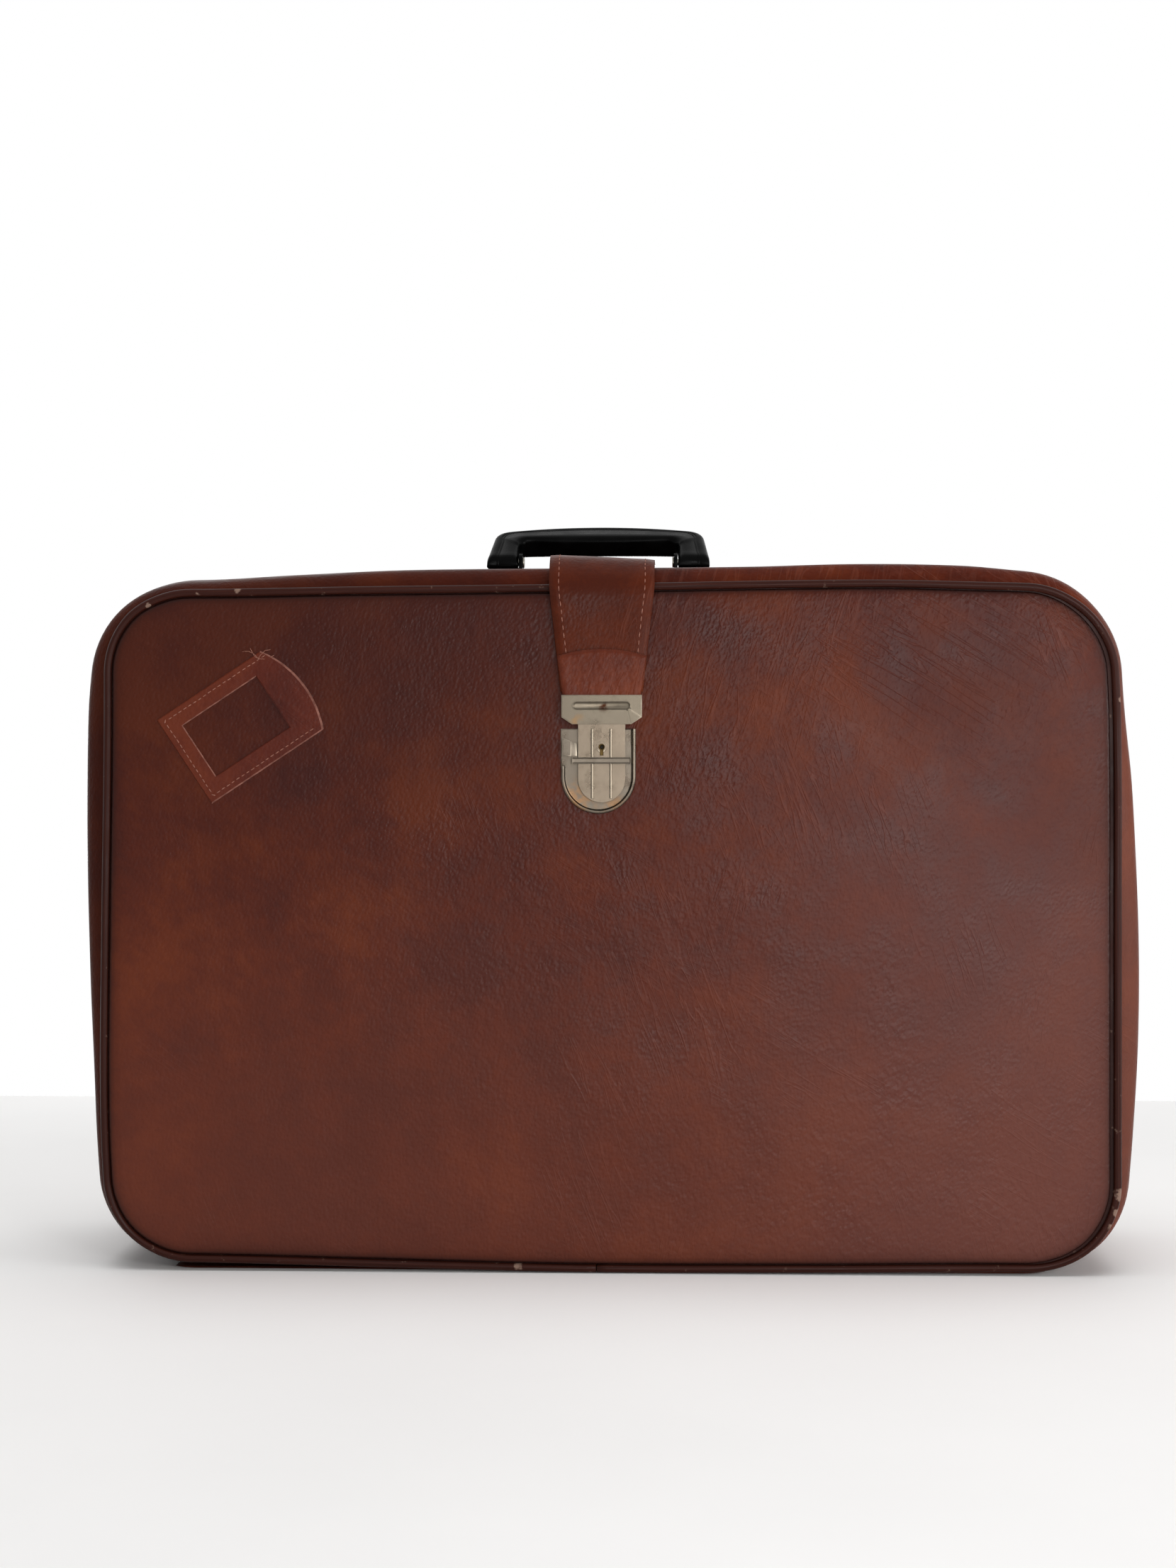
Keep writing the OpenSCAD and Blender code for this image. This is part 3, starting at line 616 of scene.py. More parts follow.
def edging(name, side, drifts):
    stations = edge_line(6, 22)
    stations.append((-6.0, edge_lift, 0, -1))
    ring = edging_ring(side)

    def section(x, z):
        drift = edge_drift(x, z) if drifts else 0
        return [(n + drift, y) for n, y in ring]

    obj = sweep(name, stations, section, edging_plastic)
    along = []
    across = []
    run = 0.0
    for i, s in enumerate(stations):
        if i:
            run += math.hypot(s[0] - stations[i - 1][0], s[1] - stations[i - 1][1]) / 1000
        along += [run] * len(ring)
        across += [j / len(ring) for j in range(len(ring))]
    for title, values in (("along", along), ("across", across)):
        obj.data.attributes.new(title, "FLOAT", "POINT").data.foreach_set("value", values)
    return obj


lid_edge = edging("lid_edging_bead", -1, True)
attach(lid_edge, "lid")
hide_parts("lid_edging")
back_edge = edging("back_edging_bead", 1, False)
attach(back_edge, "case")
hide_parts("back_edging")

# The hinge: a strip of dark bookcloth pasted along the bottom, half on the base's mouth frame and
# half up the inside of the lid, so that it bends when the lid goes down.
bookcloth = Finish("hinge_bookcloth", 0.9)
threads = bookcloth.math("MULTIPLY", bookcloth.cells(900, at=bookcloth.laid((1, 1, 0.2))),
                         bookcloth.cells(900, at=bookcloth.laid((0.2, 1, 1))))
bookcloth.paint(bookcloth.tones(threads, (0.0, srgb(42, 24, 18)), (0.35, srgb(66, 40, 30))))
bookcloth.press(threads, 0.12)
hinge_half = 235
hinge_t = 0.7
hinge_path = [(-57.6, 16.0), (-62, 15.95), (-66, 15.95), (-69, 15.9), (-70.6, 16.1), (-71.3, 16.9),
              (-71.5, 18.4), (-71.5, 22), (-71.5, 28), (-71.5, 35.4)]


def facing(path, i):
    """The outward direction at a point of a path of (y, z)."""
    before = path[max(0, i - 1)]
    after = path[min(len(path) - 1, i + 1)]
    run = Vector((0, after[0] - before[0], after[1] - before[1])).normalized()
    return Vector((0, run.z, -run.y))


def strip(name, path, half, under, over, finish, columns, wave=None, middle=0.0):
    """A strap or strip: a path of (y, z), its half width at each row and the depths of its two sides."""
    points = []
    soft = (over - under) * 0.3
    for i, (y, z) in enumerate(path):
        out = facing(path, i)
        w = half(y, z)
        ring = []
        for way, depth, inwards in ((1, over, -soft), (-1, under, soft)):
            for k in range(columns + 1):
                t = way * (2 * k / columns - 1)
                ring.append((t * w, depth + (inwards if k in (0, columns) else 0)))
        for x, d in ring:
            d += wave(x, y, z) if wave else 0
            points.append((middle + x, y + out.y * d, z + out.z * d))
    m = 2 * columns + 2
    faces = skin(len(path), m)
    for base in (0, (len(path) - 1) * m):
        for k in range(columns):
            faces.append((base + k, base + k + 1, base + m - 2 - k, base + m - 1 - k))
    return shape(name, points, faces, finish)


hinge = strip("hinge_cloth", hinge_path, lambda y, z: hinge_half, -hinge_t / 2, hinge_t / 2, bookcloth, 40)
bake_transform(hinge)
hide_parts("hinge_strip")

# The label pocket: one piece of thin hide with a window cut in it, sewn to the lid aslant on three
# sides and open at its curved end. Only its cut edges that face right show pale, as painted light, and
# thread ends hang at the top corner.
label_mid = (-211.2, 316.4)
label_turn = math.radians(33.5)
label_left = -40.0
label_half = 29.0
label_reach = 33.0
label_arc = 7.5
label_skew = (2.4, -5.0)
window = (-29.0, 22.0, -17.0, 18.0)
label_hide = leatherette("label_leather", srgb(66, 23, 15), srgb(82, 31, 19), srgb(98, 42, 24), 1.4, 0.8)


def mottled(name, rough, metal, grain, dark, light, gloss=None, relief=None):
    """A plain finish in two tones by one noise, with its range of gloss and its fine relief."""
    f = Finish(name, rough, metal)
    spread = f.noise(*grain)
    f.paint(f.tones(spread, dark, light))
    if gloss:
        f.gloss(spread, *gloss)
    if relief:
        fine, depth = relief
        f.press(spread if fine == grain else f.noise(*fine), depth)
    return f


cut_edge = mottled("cut_edge", 0.8, 0.0, (300, 4), (0.35, srgb(96, 52, 40)), (0.7, srgb(140, 92, 78)))


def on_label(u, v, d):
    """A place on the pocket as a point in front of the lid's face."""
    c = math.cos(label_turn)
    s = math.sin(label_turn)
    return (label_mid[0] + u * c - v * s, -face_d - d, label_mid[1] + u * s + v * c)


def label_outline(u, v):
    """How far out along the ray (u, v) the pocket's outer edge lies."""
    arc_r = (label_half ** 2 + label_arc ** 2) / (2 * label_arc)
    cu = label_reach + label_arc - arc_r + label_skew[0]
    cv = label_skew[1]
    t = math.inf
    if u < 0:
        t = min(t, label_left / u)
    if v:
        t = min(t, label_half / abs(v))
    b = -2 * (u * cu + v * cv)
    c = cu * cu + cv * cv - arc_r * arc_r
    return min(t, (-b + math.sqrt(b * b - 4 * c)) / 2)


def label_window(u, v):
    """How far out along the ray the window's edge lies."""
    t = math.inf
    if u:
        t = min(t, (window[1] if u > 0 else window[0]) / u)
    if v:
        t = min(t, (window[3] if v > 0 else window[2]) / v)
    return t


rays = []
beside = 0.012
for outline in (label_outline, label_window):
    corners = [(label_left, label_half), (label_left, -label_half), (label_reach, label_half),
               (label_reach, -label_half)]
    if outline is label_window:
        corners = [(window[i], window[j]) for i in (0, 1) for j in (2, 3)]
    for u, v in corners:
        base = math.atan2(v, u)
        rays += [base - beside, base, base + beside]
rays += [math.tau * i / 180 - math.pi for i in range(180)]
rays = sorted(set(round(a, 4) for a in rays))
# From the outer edge in to the window: the share of the way and the height over the lid
steps = [(0, 0.02), (0, 0.35), (0.055, 1.15), (0.3, 1.25), (0.6, 1.3), (0.95, 1.3), (1, 0.6), (1, 0.02)]
points = []
for a in rays:
    u, v = math.cos(a), math.sin(a)
    outer = label_outline(u, v)
    inner = label_window(u, v)
    for share, d in steps:
        t = outer + (inner - outer) * share
        points.append(on_label(u * t, v * t, d))
faces = skin(len(rays), len(steps), ring=True)
label = shape("label_frame", points, faces, label_hide)
label.data.materials.append(cut_edge.mat)
for face in label.data.polygons:
    face.use_smooth = False
    # Only the cut edges that face right are painted pale, as painted light; those facing left keep the
    # hide's colour as painted shade
    if abs(face.normal.y) < 0.93 and face.normal.x > 0:
        face.material_index = 1
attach(label, "lid")
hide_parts("label_pocket")

# Sewing: rows of waxed linen thread, one short stitch after another, sunk a little in the hide.
# The same rows sew the label pocket here, and the handle's patch and the strap further down.
twist = (1400, 2, 0.6)
waxed_thread = mottled("waxed_thread", 0.7, 0.0, twist, (0.3, srgb(108, 62, 48)), (0.7, srgb(162, 110, 92)),
                       relief=(twist, 0.08))


def sewing_tree():
    """Geometry nodes that set a stitch at each pitch along the rows of points."""
    tree = bpy.data.node_groups.new("sewn_rows", "GeometryNodeTree")
    tree.interface.new_socket("Rows", in_out="INPUT", socket_type="NodeSocketGeometry")
    sockets = {}
    for title in ("Pitch", "Stitch length", "Thread thickness"):
        sockets[title] = tree.interface.new_socket(title, in_out="INPUT", socket_type="NodeSocketFloat")
    tree.interface.new_socket("Stitches", in_out="OUTPUT", socket_type="NodeSocketGeometry")

    def made(kind, output, fed=None, **settings):
        return add_node(tree, kind, fed, **settings).outputs[output]

    given = add_node(tree, "NodeGroupInput").outputs
    rows = made("GeometryNodeMeshToCurve", "Curve", {"Mesh": given["Rows"]})
    steps = made("GeometryNodeResampleCurve", "Curve", {"Curve": rows, "Length": given["Pitch"]},
                 mode="LENGTH")
    astray = 0.00012
    stray = made("FunctionNodeRandomValue", "Value",
                 {"Min": [-astray] * 3, "Max": [astray] * 3, "Seed": 7}, data_type="FLOAT_VECTOR")
    shifted = made("GeometryNodeSetPosition", "Geometry", {"Geometry": steps, "Offset": stray})
    ball = made("GeometryNodeMeshUVSphere", "Mesh", {"Segments": 6, "Rings": 6, "Radius": 0.5})
    thickness = given["Thread thickness"]
    size = made("ShaderNodeCombineXYZ", "Vector",
                {"X": given["Stitch length"], "Y": thickness, "Z": thickness})
    stitch = made("GeometryNodeTransform", "Geometry", {"Geometry": ball, "Scale": size})
    tangent = made("GeometryNodeInputTangent", "Tangent")
    lie = made("FunctionNodeAlignRotationToVector", "Rotation", {"Vector": tangent}, axis="X")
    sewn = made("GeometryNodeInstanceOnPoints", "Instances",
                {"Points": shifted, "Instance": stitch, "Rotation": lie})
    real = made("GeometryNodeRealizeInstances", "Geometry", {"Geometry": sewn})
    smooth = made("GeometryNodeSetShadeSmooth", "Geometry", {"Geometry": real})
    thread = made("GeometryNodeSetMaterial", "Geometry", {"Geometry": smooth, "Material": waxed_thread.mat})
    add_node(tree, "NodeGroupOutput", {"Stitches": thread})
    return tree, sockets


sewn_rows, sewn_sizes = sewing_tree()


def settled(rough):
    """The plain mesh that an object's modifiers make; the object and its own mesh are removed."""
    depsgraph = bpy.context.evaluated_depsgraph_get()
    done = bpy.data.meshes.new_from_object(rough.evaluated_get(depsgraph), depsgraph=depsgraph)
    mesh = rough.data
    bpy.data.objects.remove(rough)
    bpy.data.meshes.remove(mesh)
    return done


def sew(name, rows, pitch, length, thickness):
    """One mesh of stitches along rows of points in millimetres."""
    points = []
    edges = []
    for row in rows:
        start = len(points)
        points += metres(row)
        edges += [(start + i, start + i + 1) for i in range(len(row) - 1)]
    mesh = bpy.data.meshes.new(name + "_rows")
    mesh.from_pydata(points, edges, [])
    guide = placed(name + "_rows", mesh)
    sewing = guide.modifiers.new("sewing", "NODES")
    sewing.node_group = sewn_rows
    for title, value in (("Pitch", pitch), ("Stitch length", length), ("Thread thickness", thickness)):
        sewing[sewn_sizes[title].identifier] = value / 1000
    return placed(name, settled(guide))


def row_between(points):
    """Points at steps of about 3 mm along a bent row."""
    step = 3.0
    row = []
    for a, b in zip(points, points[1:]):
        count = max(1, round((Vector(b) - Vector(a)).length / step))
        row += [tuple(Vector(a).lerp(Vector(b), i / count)) for i in range(count)]
    return row + [tuple(points[-1])]


label_seam = 3.6
seam_left = label_left + label_seam
seam_right = label_reach - 1
seam_top = label_half - label_seam
sewn = [on_label(u, v, 1.25) for u, v in ((seam_right, seam_top), (seam_left, seam_top),
                                          (seam_left, -seam_top), (seam_right, -seam_top))]
label_sewing = sew("label_sewing", [row_between(sewn)], 3.4, 2.6, 0.62)
corner = on_label(label_reach - 4, label_half - 3, 1.3)
thread_ends = []
for dx, dz, sag in ((-9, 4, 1.6), (-4.5, 5.5, -1.2), (6.5, 5, 1.4), (8.5, 1.5, -1.0)):
    end = [(corner[0] + dx * t, corner[1] + 0.5 * t, corner[2] + dz * t + sag * math.sin(math.pi * t))
           for t in (i / 8 for i in range(9))]
    thread_ends.append(end)
label_ends = sew("label_thread_ends", thread_ends, 0.8, 1.6, 0.36)
for sewing in (label_sewing, label_ends):
    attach(sewing, "lid")

# The handle's patch: a doubled piece of leatherette sewn on the top under the handle, so that the
# rivets of the two brackets don't tear out.
patch_mid = -7.5
patch_x = 75.5
patch_y = (-32.0, 34.0)
patch_z = (408.0, 409.2)
patch_r = 5.0
patch_seam = 4.0
patch_hide = leatherette("patch_leatherette", srgb(62, 22, 14), srgb(76, 29, 17), srgb(90, 38, 22), 0.8)
side_x = patch_x - patch_r
front_y = patch_y[0] + patch_r
back_y = patch_y[1] - patch_r
ring = []
for cx, cy, start in ((side_x, back_y, 0), (-side_x, back_y, 90), (-side_x, front_y, 180),
                      (side_x, front_y, 270)):
    for i in range(7):
        a = math.radians(start + 15 * i)
        ring.append((cx + patch_r * math.cos(a), cy + patch_r * math.sin(a), math.cos(a), math.sin(a)))
levels = [(0, patch_z[0]), (0, patch_z[1] - 0.4), (-0.4, patch_z[1] - 0.08), (-1.2, patch_z[1])]
points = []
for n, z in levels:
    points += [(patch_mid + x + ox * n, y + oy * n, z) for x, y, ox, oy in ring]
faces = caps(len(levels), len(ring)) + skin(len(levels), len(ring))
patch = shape("handle_patch_hide", points, faces, patch_hide)
for face in patch.data.polygons:
    if len(face.vertices) > 4:
        face.use_smooth = False
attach(patch, "case")
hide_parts("handle_patch")
seam_x = patch_x - patch_seam
seam_y = (patch_y[0] + patch_seam, patch_y[1] - patch_seam)
sewn = [(patch_mid + sx * seam_x, seam_y[ey], patch_z[1])
        for sx, ey in ((-1, 0), (1, 0), (1, 1), (-1, 1), (-1, 0))]
patch_sewing = sew("patch_sewing", [row_between(sewn)], 3.6, 2.8, 0.7)
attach(patch_sewing, "case")

# The handle's fixings: two moulded brackets with a steel pin each, riveted through the top to a
# steel strip inside. The pins and the rivets are bright steel gone dull.
black_plastic = mottled("black_plastic", 0.3, 0.0, (55, 5, 0.65), (0.35, srgb(2, 2, 2)),
                        (0.75, srgb(8, 8, 8)), (0.2, 0.36), ((700, 3), 0.03))
black_plastic.shine(0.04)
dull_steel = mottled("dull_steel", 0.4, 1.0, (160, 4, 0.6), (0.3, srgb(134, 128, 116)),
                     (0.7, srgb(176, 172, 162)), (0.3, 0.5), ((900, 2), 0.02))


def eased(name, node, body, finish, width, crown=None, plain=False, flat=False):
    """The CAD node's own shape with its sharp edges eased by the width in millimetres.

    A crown lowers the foremost face's rim in steps of (inset, drop). A plain plate gets a margin inside
    its broad faces, and a flat piece is shaded flat. The value called bend on the points is above 0 on
    edges and below 0 in corners."""
    work = bmesh.new()
    work.from_mesh(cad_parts[node].data)
    bmesh.ops.remove_doubles(work, verts=work.verts, dist=2e-6)
    bmesh.ops.dissolve_limit(work, angle_limit=math.radians(0.6), verts=work.verts, edges=work.edges)
    if crown:
        work.normal_update()
        reach = min(v.co.y for v in work.verts)
        tops = [f for f in work.faces if f.normal.y < -0.99 and f.calc_center_median().y < reach + 5e-5]
        for inset, drop in crown:
            rim = {v for f in tops for v in f.verts}
            bmesh.ops.inset_region(work, faces=tops, thickness=inset / 1000)
            for v in rim:
                v.co.y += drop / 1000
    # The margin keeps an edge's tones, wear with painted highlight and painted shade, beside the edge
    if plain:
        margin = (width + 0.35) / 1000
        broad = [f for f in work.faces if f.calc_area() > 2 * margin * f.calc_perimeter()]
        bmesh.ops.inset_individual(work, faces=broad, thickness=margin, use_even_offset=True)
    for face in work.faces:
        face.smooth = True
    mesh = bpy.data.meshes.new(name)
    work.to_mesh(mesh)
    work.free()
    rough = placed(name + "_rough", mesh)
    easing = rough.modifiers.new("easing", "BEVEL")
    easing.width = width / 1000
    easing.segments = 3
    easing.limit_method = "ANGLE"
    easing.angle_limit = math.radians(32)
    easing.harden_normals = True
    done = settled(rough)
    if flat:
        done.shade_flat()
        done.normals_split_custom_set([(0, 0, 0)] * len(done.loops))
    done.materials.clear()
    done.materials.append(finish.mat)
    work = bmesh.new()
    work.from_mesh(done)
    broad_from = 0.003
    bends = [sum(e.calc_face_angle_signed(0) for e in v.link_edges) for v in work.verts]
    for face in work.faces:
        if 2 * face.calc_area() > broad_from * face.calc_perimeter():
            for v in face.verts:
                bends[v.index] = 0
    work.free()
    done.attributes.new("bend", "FLOAT", "POINT").data.foreach_set("value", bends)
    obj = placed(name, done)
    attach(obj, body)
    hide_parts(node)
    return obj


for hand in ("left", "right"):
    eased("bracket_" + hand, "handle_bracket_" + hand, "case", black_plastic, 0.5)
    eased("pin_" + hand, "handle_pin_" + hand, "case", dull_steel, 0.3)
    eased("rivets_" + hand, "handle_rivets_" + hand, "case", dull_steel, 0.35)
dress(dull_steel, "handle_backing")

# The handle: one black plastic moulding, an arched bail with two fine lines moulded round its face.
# It swings on the pins: at rest it leans back, and it turns over to lean forward above the strap.
pivot_z = 416.2
lean = math.radians(60)
handle_half = 67.5
leg_w = 19.0
foot_v = -5.35
foot_r = 5.4
leg_rise = 29.35
knee_v = 24
knee_in = 11.9
knee_r = 9
inner_r = 7
crest = 40.0
arch_r = 250.0
under = 21.0
handle_x = -7.5
moulded_lines = ((5.6, 5.95, 6.3), (7.0, 7.35, 7.7))


def pair_row():
    """Pairs of outer and inner points of the bail, (x, v), from the left foot to the middle."""
    pairs = []
    hole = handle_half - leg_w
    inner_v = under - inner_r
    for i in range(11):
        v = foot_v + leg_rise * i / 10
        inner = (-hole, min(v, inner_v + 0.05 * (v - under + inner_r)))
        pairs.append(((-handle_half + 0.12 * max(0, v), v), inner))
    for i in range(1, 13):
        t = i / 12
        a = math.radians(180 - 76 * t)
        outer = (-handle_half + knee_in + knee_r * math.cos(a), knee_v + knee_r * math.sin(a))
        b = math.radians(180 - 90 * t)
        pairs.append((outer, (-hole + inner_r + inner_r * math.cos(b), inner_v + inner_r * math.sin(b))))
    start_x, start_v = pairs[-1][0]
    inner_x = pairs[-1][1][0]
    for i in range(1, 19):
        t = i / 18
        x = start_x * (1 - t)
        arch = crest - arch_r + math.sqrt(arch_r ** 2 - x * x)
        drop = (start_v - (crest - arch_r + math.sqrt(arch_r ** 2 - start_x ** 2))) * (1 - t) ** 3
        pairs.append(((x, arch + drop), (inner_x * (1 - t), under - 0.6 * math.sin(math.pi * t / 2))))
    return pairs


def smoothed(before, here, after):
    """A point drawn towards its two neighbours."""
    return tuple((a + 2 * b + c) / 4 for a, b, c in zip(before, here, after))


left = pair_row()
pairs = left + [((-o[0], o[1]), (-i[0], i[1])) for o, i in reversed(left[:-1])]
for _ in range(3):
    kept = list(pairs)
    for k in range(9, len(pairs) - 9):
        pairs[k] = tuple(smoothed(kept[k - 1][e], kept[k][e], kept[k + 1][e]) for e in (0, 1))
points = []
for o, i in pairs:
    v = (o[1] + i[1]) / 2
    low = min(o[1], i[1])
    depth = foot_r + 1.5 * min(1, max(0, (v - 4) / 16))
    if low < 0:
        depth = math.sqrt(max(0.05, foot_r ** 2 - low * low))
    w = math.hypot(o[0] - i[0], o[1] - i[1])
    r = min(4.6, depth * 0.8)
    face = []
    for k in range(7):
        a = math.pi / 12 * k
        face.append((r - r * math.cos(a), -depth + r - r * math.sin(a)))
    cut = 0.5 * min(1, depth / 5)
    for near, deep, far in moulded_lines:
        face += [(near, -depth), (deep, -depth + cut), (far, -depth)]
    q = min(4.0, depth * 0.7)
    for k in range(6):
        a = math.pi / 10 * k
        face.append((w - q + q * math.sin(a), -depth + q - q * math.cos(a)))
    back = [(n, -y) for n, y in reversed(face) if not 5 < n < 8]
    for n, y in face + back:
        t = n / w
        x = o[0] + (i[0] - o[0]) * t
        up = o[1] + (i[1] - o[1]) * t
        points.append((handle_x + x, y * math.cos(lean) + up * math.sin(lean),
                       pivot_z - y * math.sin(lean) + up * math.cos(lean)))
m = len(face) + len(back)
faces = caps(len(pairs), m) + skin(len(pairs), m)
bail = shape("handle_bail", points, faces, black_plastic)
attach(bail, "handle")
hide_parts("handle_grip")

# The lock on the lid: a U-shaped plate with a rolled rim, a housing with the key's post and cam, a
# staple that the tongue slides under, and a sprung release on the left. Pressed steel, nickel-plated,
# the plate worn through to a brassy tint low on the left. It is riveted to a plate inside the lid.


def nickel(name, bright, shade, tint=None):
    """Worn nickel plate: clouded, scratched, spotted brown, tinted round points, lighter on edges as wear
    and painted highlight, darker in corners as painted shade and grime.
    """
    f = Finish(name, 0.42, 1.0)
    cloud = f.noise(70, 5, 0.65)
    tone = f.tones(cloud, (0.28, shade), (0.5, bright), (0.75, tuple(min(1, c * 1.12) for c in bright)))
    spots = f.between(f.noise(520, 3, 0.7), 0.66, 0.76, 0.0, 0.45)
    tone = f.blend(spots, tone, srgb(112, 92, 66))
    for point, radius, colour in tint or ():
        here = f.math("MULTIPLY", f.near(point, radius, 0.2), f.between(f.noise(260, 4), 0.35, 0.6))
        tone = f.blend(here, tone, colour)
    bend = f.mark("bend")
    # Lighter on edges, as wear and painted highlight, and darker in corners, as painted shade and grime
    tone = f.blend(f.between(bend, 0.55, 1.0, 0.0, 0.5), tone, srgb(176, 165, 147))
    tone = f.blend(f.between(bend, -0.5, -1.1, 0.0, 0.4), tone, srgb(52, 40, 28))
    scratch = f.noise(1.0, 3, 0.7, f.laid((2400, 900, 120), (0, 25, 0)))
    scratch = f.math("ADD", scratch, f.noise(1.0, 3, 0.7, f.laid((160, 900, 2200), (0, -12, 0))))
    f.paint(tone)
    f.gloss(cloud, 0.26, 0.4)
    f.press(scratch, 0.02)
    f.press(f.noise(130, 3), 0.05)
    return f


brassy = srgb(118, 92, 68)
lock_metal = nickel("lock_nickel", srgb(98, 90, 80), srgb(72, 63, 54),
                    [((-17, -81, 272), 16, brassy), ((5, -81, 268), 10, brassy)])
eased("lock_base", "lock_plate", "lid", lock_metal, 0.35, plain=True)
eased("lock_case", "lock_housing", "lid", lock_metal, 0.4)
eased("lock_bridge", "lock_staple", "lid", lock_metal, 0.4, [(0.5, 0.6), (0.5, 0.25)])
eased("lock_release", "release_lever", "lever", lock_metal, 0.35, plain=True)
eased("lock_inside", "lock_backing", "lid", dull_steel, 0.2)
# The key's post and its cam in the keyhole are coloured dark, as painted shade of the keyhole
keyhole_shade_steel = mottled("keyhole_shade_steel", 0.6, 1.0, (300, 3), (0.3, srgb(34, 31, 28)), (0.7, srgb(52, 48, 44)),
                     relief=((300, 3), 0.03))
eased("lock_post", "key_post", "lid", keyhole_shade_steel, 0.15)
keyhole_shade_brass = mottled("keyhole_shade_brass", 0.42, 1.0, (200, 4), (0.3, srgb(60, 46, 26)), (0.7, srgb(96, 78, 46)),
                     relief=((800, 2), 0.02))
eased("lock_key_cam", "lock_cam", "cam", keyhole_shade_brass, 0.15)

# The strap: two layers of hide glued and sewn along both edges, 60 mm wide over the top and narrower
# below. It comes from under the handle, over the top edge and down to the hasp.
strap_top = 410.5
bend = (-59.4, 388.5)
bend_r = 22.0
strap_layer = 1.4
strap_end = 334.5
strap_end_half = 23.3
strap_flare = 6.7
flare_run = 60
strap_seam = 5.2
strap_x = -3.0
strap_hide = leatherette("strap_leather", srgb(66, 24, 11), srgb(82, 32, 13), srgb(98, 42, 17), 0.8, 0.8)
strap_hide.shine(0.09)
strap_under = leatherette("strap_lining_hide", srgb(52, 24, 17), srgb(64, 31, 22), srgb(76, 40, 29), 0.5)
strap_path = [(-24 - 35.4 * i / 8, strap_top) for i in range(8)]
strap_path += [(bend[0] - bend_r * math.sin(math.radians(90 * i / 14)),
                bend[1] + bend_r * math.cos(math.radians(90 * i / 14))) for i in range(15)]
strap_path += [(bend[0] - bend_r, bend[1] - (bend[1] - strap_end) * i / 16) for i in range(1, 17)]


def strap_half(y, z):
    return strap_end_half + strap_flare * min(1, max(0, (z - strap_end) / flare_run))


def strap_wave(x, y, z):
    """The strap's slow twist over the edge and its small waves."""
    twist = -0.05 * (x - 12) * min(1, max(0, (z - 375) / 30)) * min(1, max(0, (-28 - y) / 14))
    return twist + 0.18 * noise.noise(Vector((x * 0.05, y * 0.03, z * 0.04)))


inner_strap = strip("strap_inner_layer", strap_path, strap_half, 0, strap_layer, strap_under, 14,
                    strap_wave, strap_x)
outer_strap = strip("strap_outer_layer", strap_path, lambda y, z: strap_half(y, z) + 0.25,
                    strap_layer + 0.04, 2 * strap_layer, strap_hide, 14, strap_wave, strap_x)
rows = []
for s in (-1, 1):
    row = []
    for i, (y, z) in enumerate(strap_path[:-3]):
        out = facing(strap_path, i)
        x = s * (strap_half(y, z) - strap_seam)
        d = 2 * strap_layer + strap_wave(x, y, z)
        row.append((strap_x + x, y + out.y * d, z + out.z * d))
    rows.append(row)
strap_sewing = sew("strap_sewing", rows, 4.4, 3.3, 0.62)
for obj, node in ((inner_strap, "strap_lining"), (outer_strap, "strap_outer"), (strap_sewing, None)):
    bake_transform(obj)
    if node:
        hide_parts(node)

# The strap's tab: a short piece of hide laid over the strap's end, its upper edge cut to a curve,
# clamped with the strap in the hasp plate. It is creased from being pulled.
tab_hide = leatherette("tab_leather", srgb(70, 26, 15), srgb(88, 36, 20), srgb(112, 52, 30), 1.8, 0.9)
tab_front = -86.1
tab_back = -84.6
tab_foot = 320
tab_top = 359
tab_dip = 4
clamp_top = 332
points = []
columns = 26
tab_rows = 16
for i in range(columns + 1):
    t = -1 + 2 * i / columns
    top = tab_top - tab_dip * t * t
    for j in range(tab_rows + 1):
        z = tab_foot + (top - tab_foot) * j / tab_rows
        half = 21.6 if z < clamp_top else 22.3 + 3.2 * (z - clamp_top) / 23
        x = t * half
        fold = 0.16 * noise.noise(Vector((x * 0.28, 1.7, z * 0.045)))
        fold *= min(1, max(0, (z - clamp_top - 1) / 6))
        edge = 0.35 if i in (0, columns) or j in (0, tab_rows) else 0
        points.append((strap_x + x, tab_front + fold + edge, z))
m = tab_rows + 1
n = (columns + 1) * m
points += [(x, tab_back - (0.25 if y > tab_front + 0.3 else 0), z) for x, y, z in points]
faces = []
for i in range(columns):
    for j in range(tab_rows):
        a = i * m + j
        faces.append((a, a + 1, a + m + 1, a + m))
        faces.append((n + a, n + a + 1, n + a + m + 1, n + a + m))
for i in range(columns):
    for j in (0, tab_rows):
        a = i * m + j
        faces.append((a, a + m, n + a + m, n + a))
for j in range(tab_rows):
    for i in (0, columns):
        a = i * m + j
        faces.append((a, a + 1, n + a + 1, n + a))
tab = shape("strap_tab_hide", points, faces, tab_hide)
tab.data.materials.append(cut_edge.mat)
for face in tab.data.polygons:
    if abs(face.normal.y) < 0.5:
        face.material_index = 1
        face.use_smooth = False
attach(tab, "hasp")
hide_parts("strap_tab")

# The hasp: a pressed plate folded over the strap's end, with a bead across it, and below it the
# tongue with two ribs and a rimmed keyhole, which slides under the staple. Nickel-plated steel with
# a rust spot on the bead.
clamp_metal = nickel("clamp_nickel", srgb(100, 92, 80), srgb(76, 68, 58),
                     [((-2, -88, 326), 4.5, srgb(50, 26, 14)), ((-17, -87, 318), 6, srgb(112, 90, 66))])
tongue_metal = nickel("tongue_nickel", srgb(110, 99, 86), srgb(86, 76, 65))
eased("hasp_back_leaf", "hasp_back", "hasp", clamp_metal, 0.25)
eased("hasp_clamp", "hasp_plate", "hasp", clamp_metal, 0.3, [(0.5, 0.45), (0.7, 0.2)], True)
eased("hasp_tongue_blade", "hasp_tongue", "hasp", tongue_metal, 0.28, flat=True)

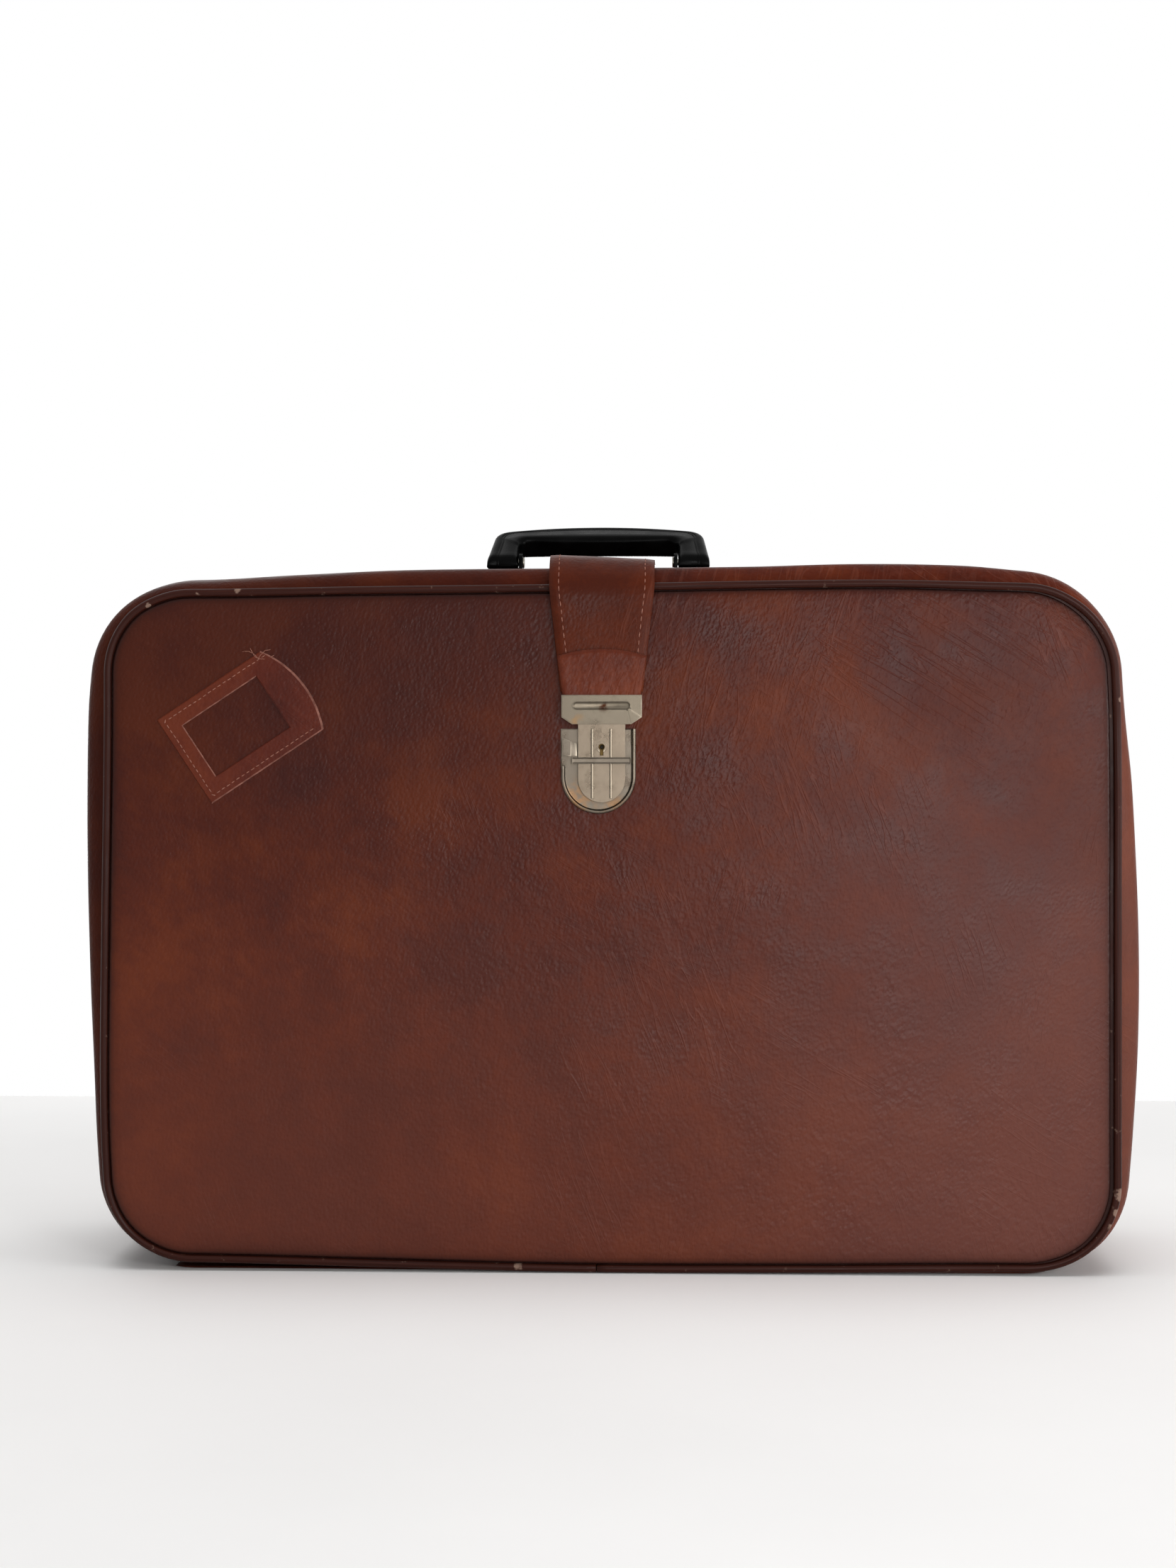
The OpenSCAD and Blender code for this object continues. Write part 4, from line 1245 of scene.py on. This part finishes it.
# The place it is shown in: a pale floor in a white room, a window to the right of the camera with a
# lower and a higher pane, a side window that rakes the front, and plain light from above and from
# behind. Its sizes are in metres.
floor_half = 3
floor_back = 0.7
floor_paint = mottled("floor_paint", 0.85, 0.0, (3, 4), (0.3, srgb(248, 247, 246)),
                      (0.7, srgb(253, 252, 251)))
floor_mesh = bpy.data.meshes.new("floor")
floor_mesh.from_pydata([(-floor_half, -floor_half, 0), (floor_half, -floor_half, 0),
                        (floor_half, floor_back, 0), (-floor_half, floor_back, 0)], [], [(0, 1, 2, 3)])
floor_mesh.materials.append(floor_paint.mat)
floor = placed("floor", floor_mesh)

# The room fills the shadows a little and is white where the camera, metal or glass sees it
room = bpy.data.worlds.new("room")
room.use_nodes = True
bpy.context.scene.world = room
sky = room.node_tree
fill = sky.nodes["Background"]
white = add_node(sky, "ShaderNodeBackground")
for light, strength in ((fill, 0.2), (white, 1.0)):
    light.inputs["Color"].default_value = (1, 1, 1, 1)
    light.inputs["Strength"].default_value = strength
ray = add_node(sky, "ShaderNodeLightPath").outputs
seen = ray["Is Camera Ray"]
for kind in ("Is Glossy Ray", "Is Transmission Ray"):
    seen = add_node(sky, "ShaderNodeMath", {0: seen, 1: ray[kind]}, operation="MAXIMUM").outputs[0]
pick = add_node(sky, "ShaderNodeMixShader", {0: seen, 1: fill.outputs[0], 2: white.outputs[0]})
feed(sky, sky.nodes["World Output"].inputs["Surface"], pick.outputs[0])


def window_light(name, place, aim, width, height, power, spread=180):
    lamp = bpy.data.lights.new(name, "AREA")
    lamp.spread = math.radians(spread)
    lamp.shape = "RECTANGLE"
    lamp.size = width
    lamp.size_y = height
    lamp.energy = power
    obj = placed(name, lamp)
    obj.location = place
    obj.rotation_euler = (Vector(aim) - Vector(place)).to_track_quat("-Z", "Y").to_euler()
    obj.visible_camera = False
    return obj


window_light("window_right", (1.1, -1.9, 0.55), (0.1, 0, 0.2), 0.9, 0.9, 6.5)
window_light("window_pane", (0.3, -2.2, 0.31), (0.1, 0, 0.28), 0.36, 0.36, 7)
window_light("window_high", (0.9, -2.1, 0.84), (0.25, 0, 0.35), 0.24, 0.24, 5)
window_light("window_side", (1.6, -0.75, 0.4), (0.2, 0, 0.2), 0.6, 0.6, 8)
ceiling = window_light("window_above", (0, -0.4, 1.7), (0, -0.4, 0), 4.4, 4.4, 33, 60)
ceiling.visible_glossy = False
window_light("window_behind", (-0.3, 1.9, 0.28), (0, 0.1, 0.2), 1.6, 0.24, 9)

# The camera stands level in front, a little to the right, and its lens gives the photograph's scale
# at the lid's face
sensor = 36
camera_far = 1.4
metres_a_pixel = 0.0004075
frame_height = 2212
camera_data = bpy.data.cameras.new("camera")
camera_data.sensor_width = sensor
camera_data.lens = camera_far / metres_a_pixel * sensor / frame_height
camera_data.clip_start = 0.05
camera = placed("camera", camera_data)
aim = Vector((-0.011, -0.08, 0.2816))
swing = math.radians(2)
camera.location = aim + camera_far * Vector((math.sin(swing), -math.cos(swing), 0))
camera.rotation_euler = (math.radians(90), 0, swing)
bpy.context.scene.camera = camera
bpy.context.scene.view_settings.view_transform = "Standard"
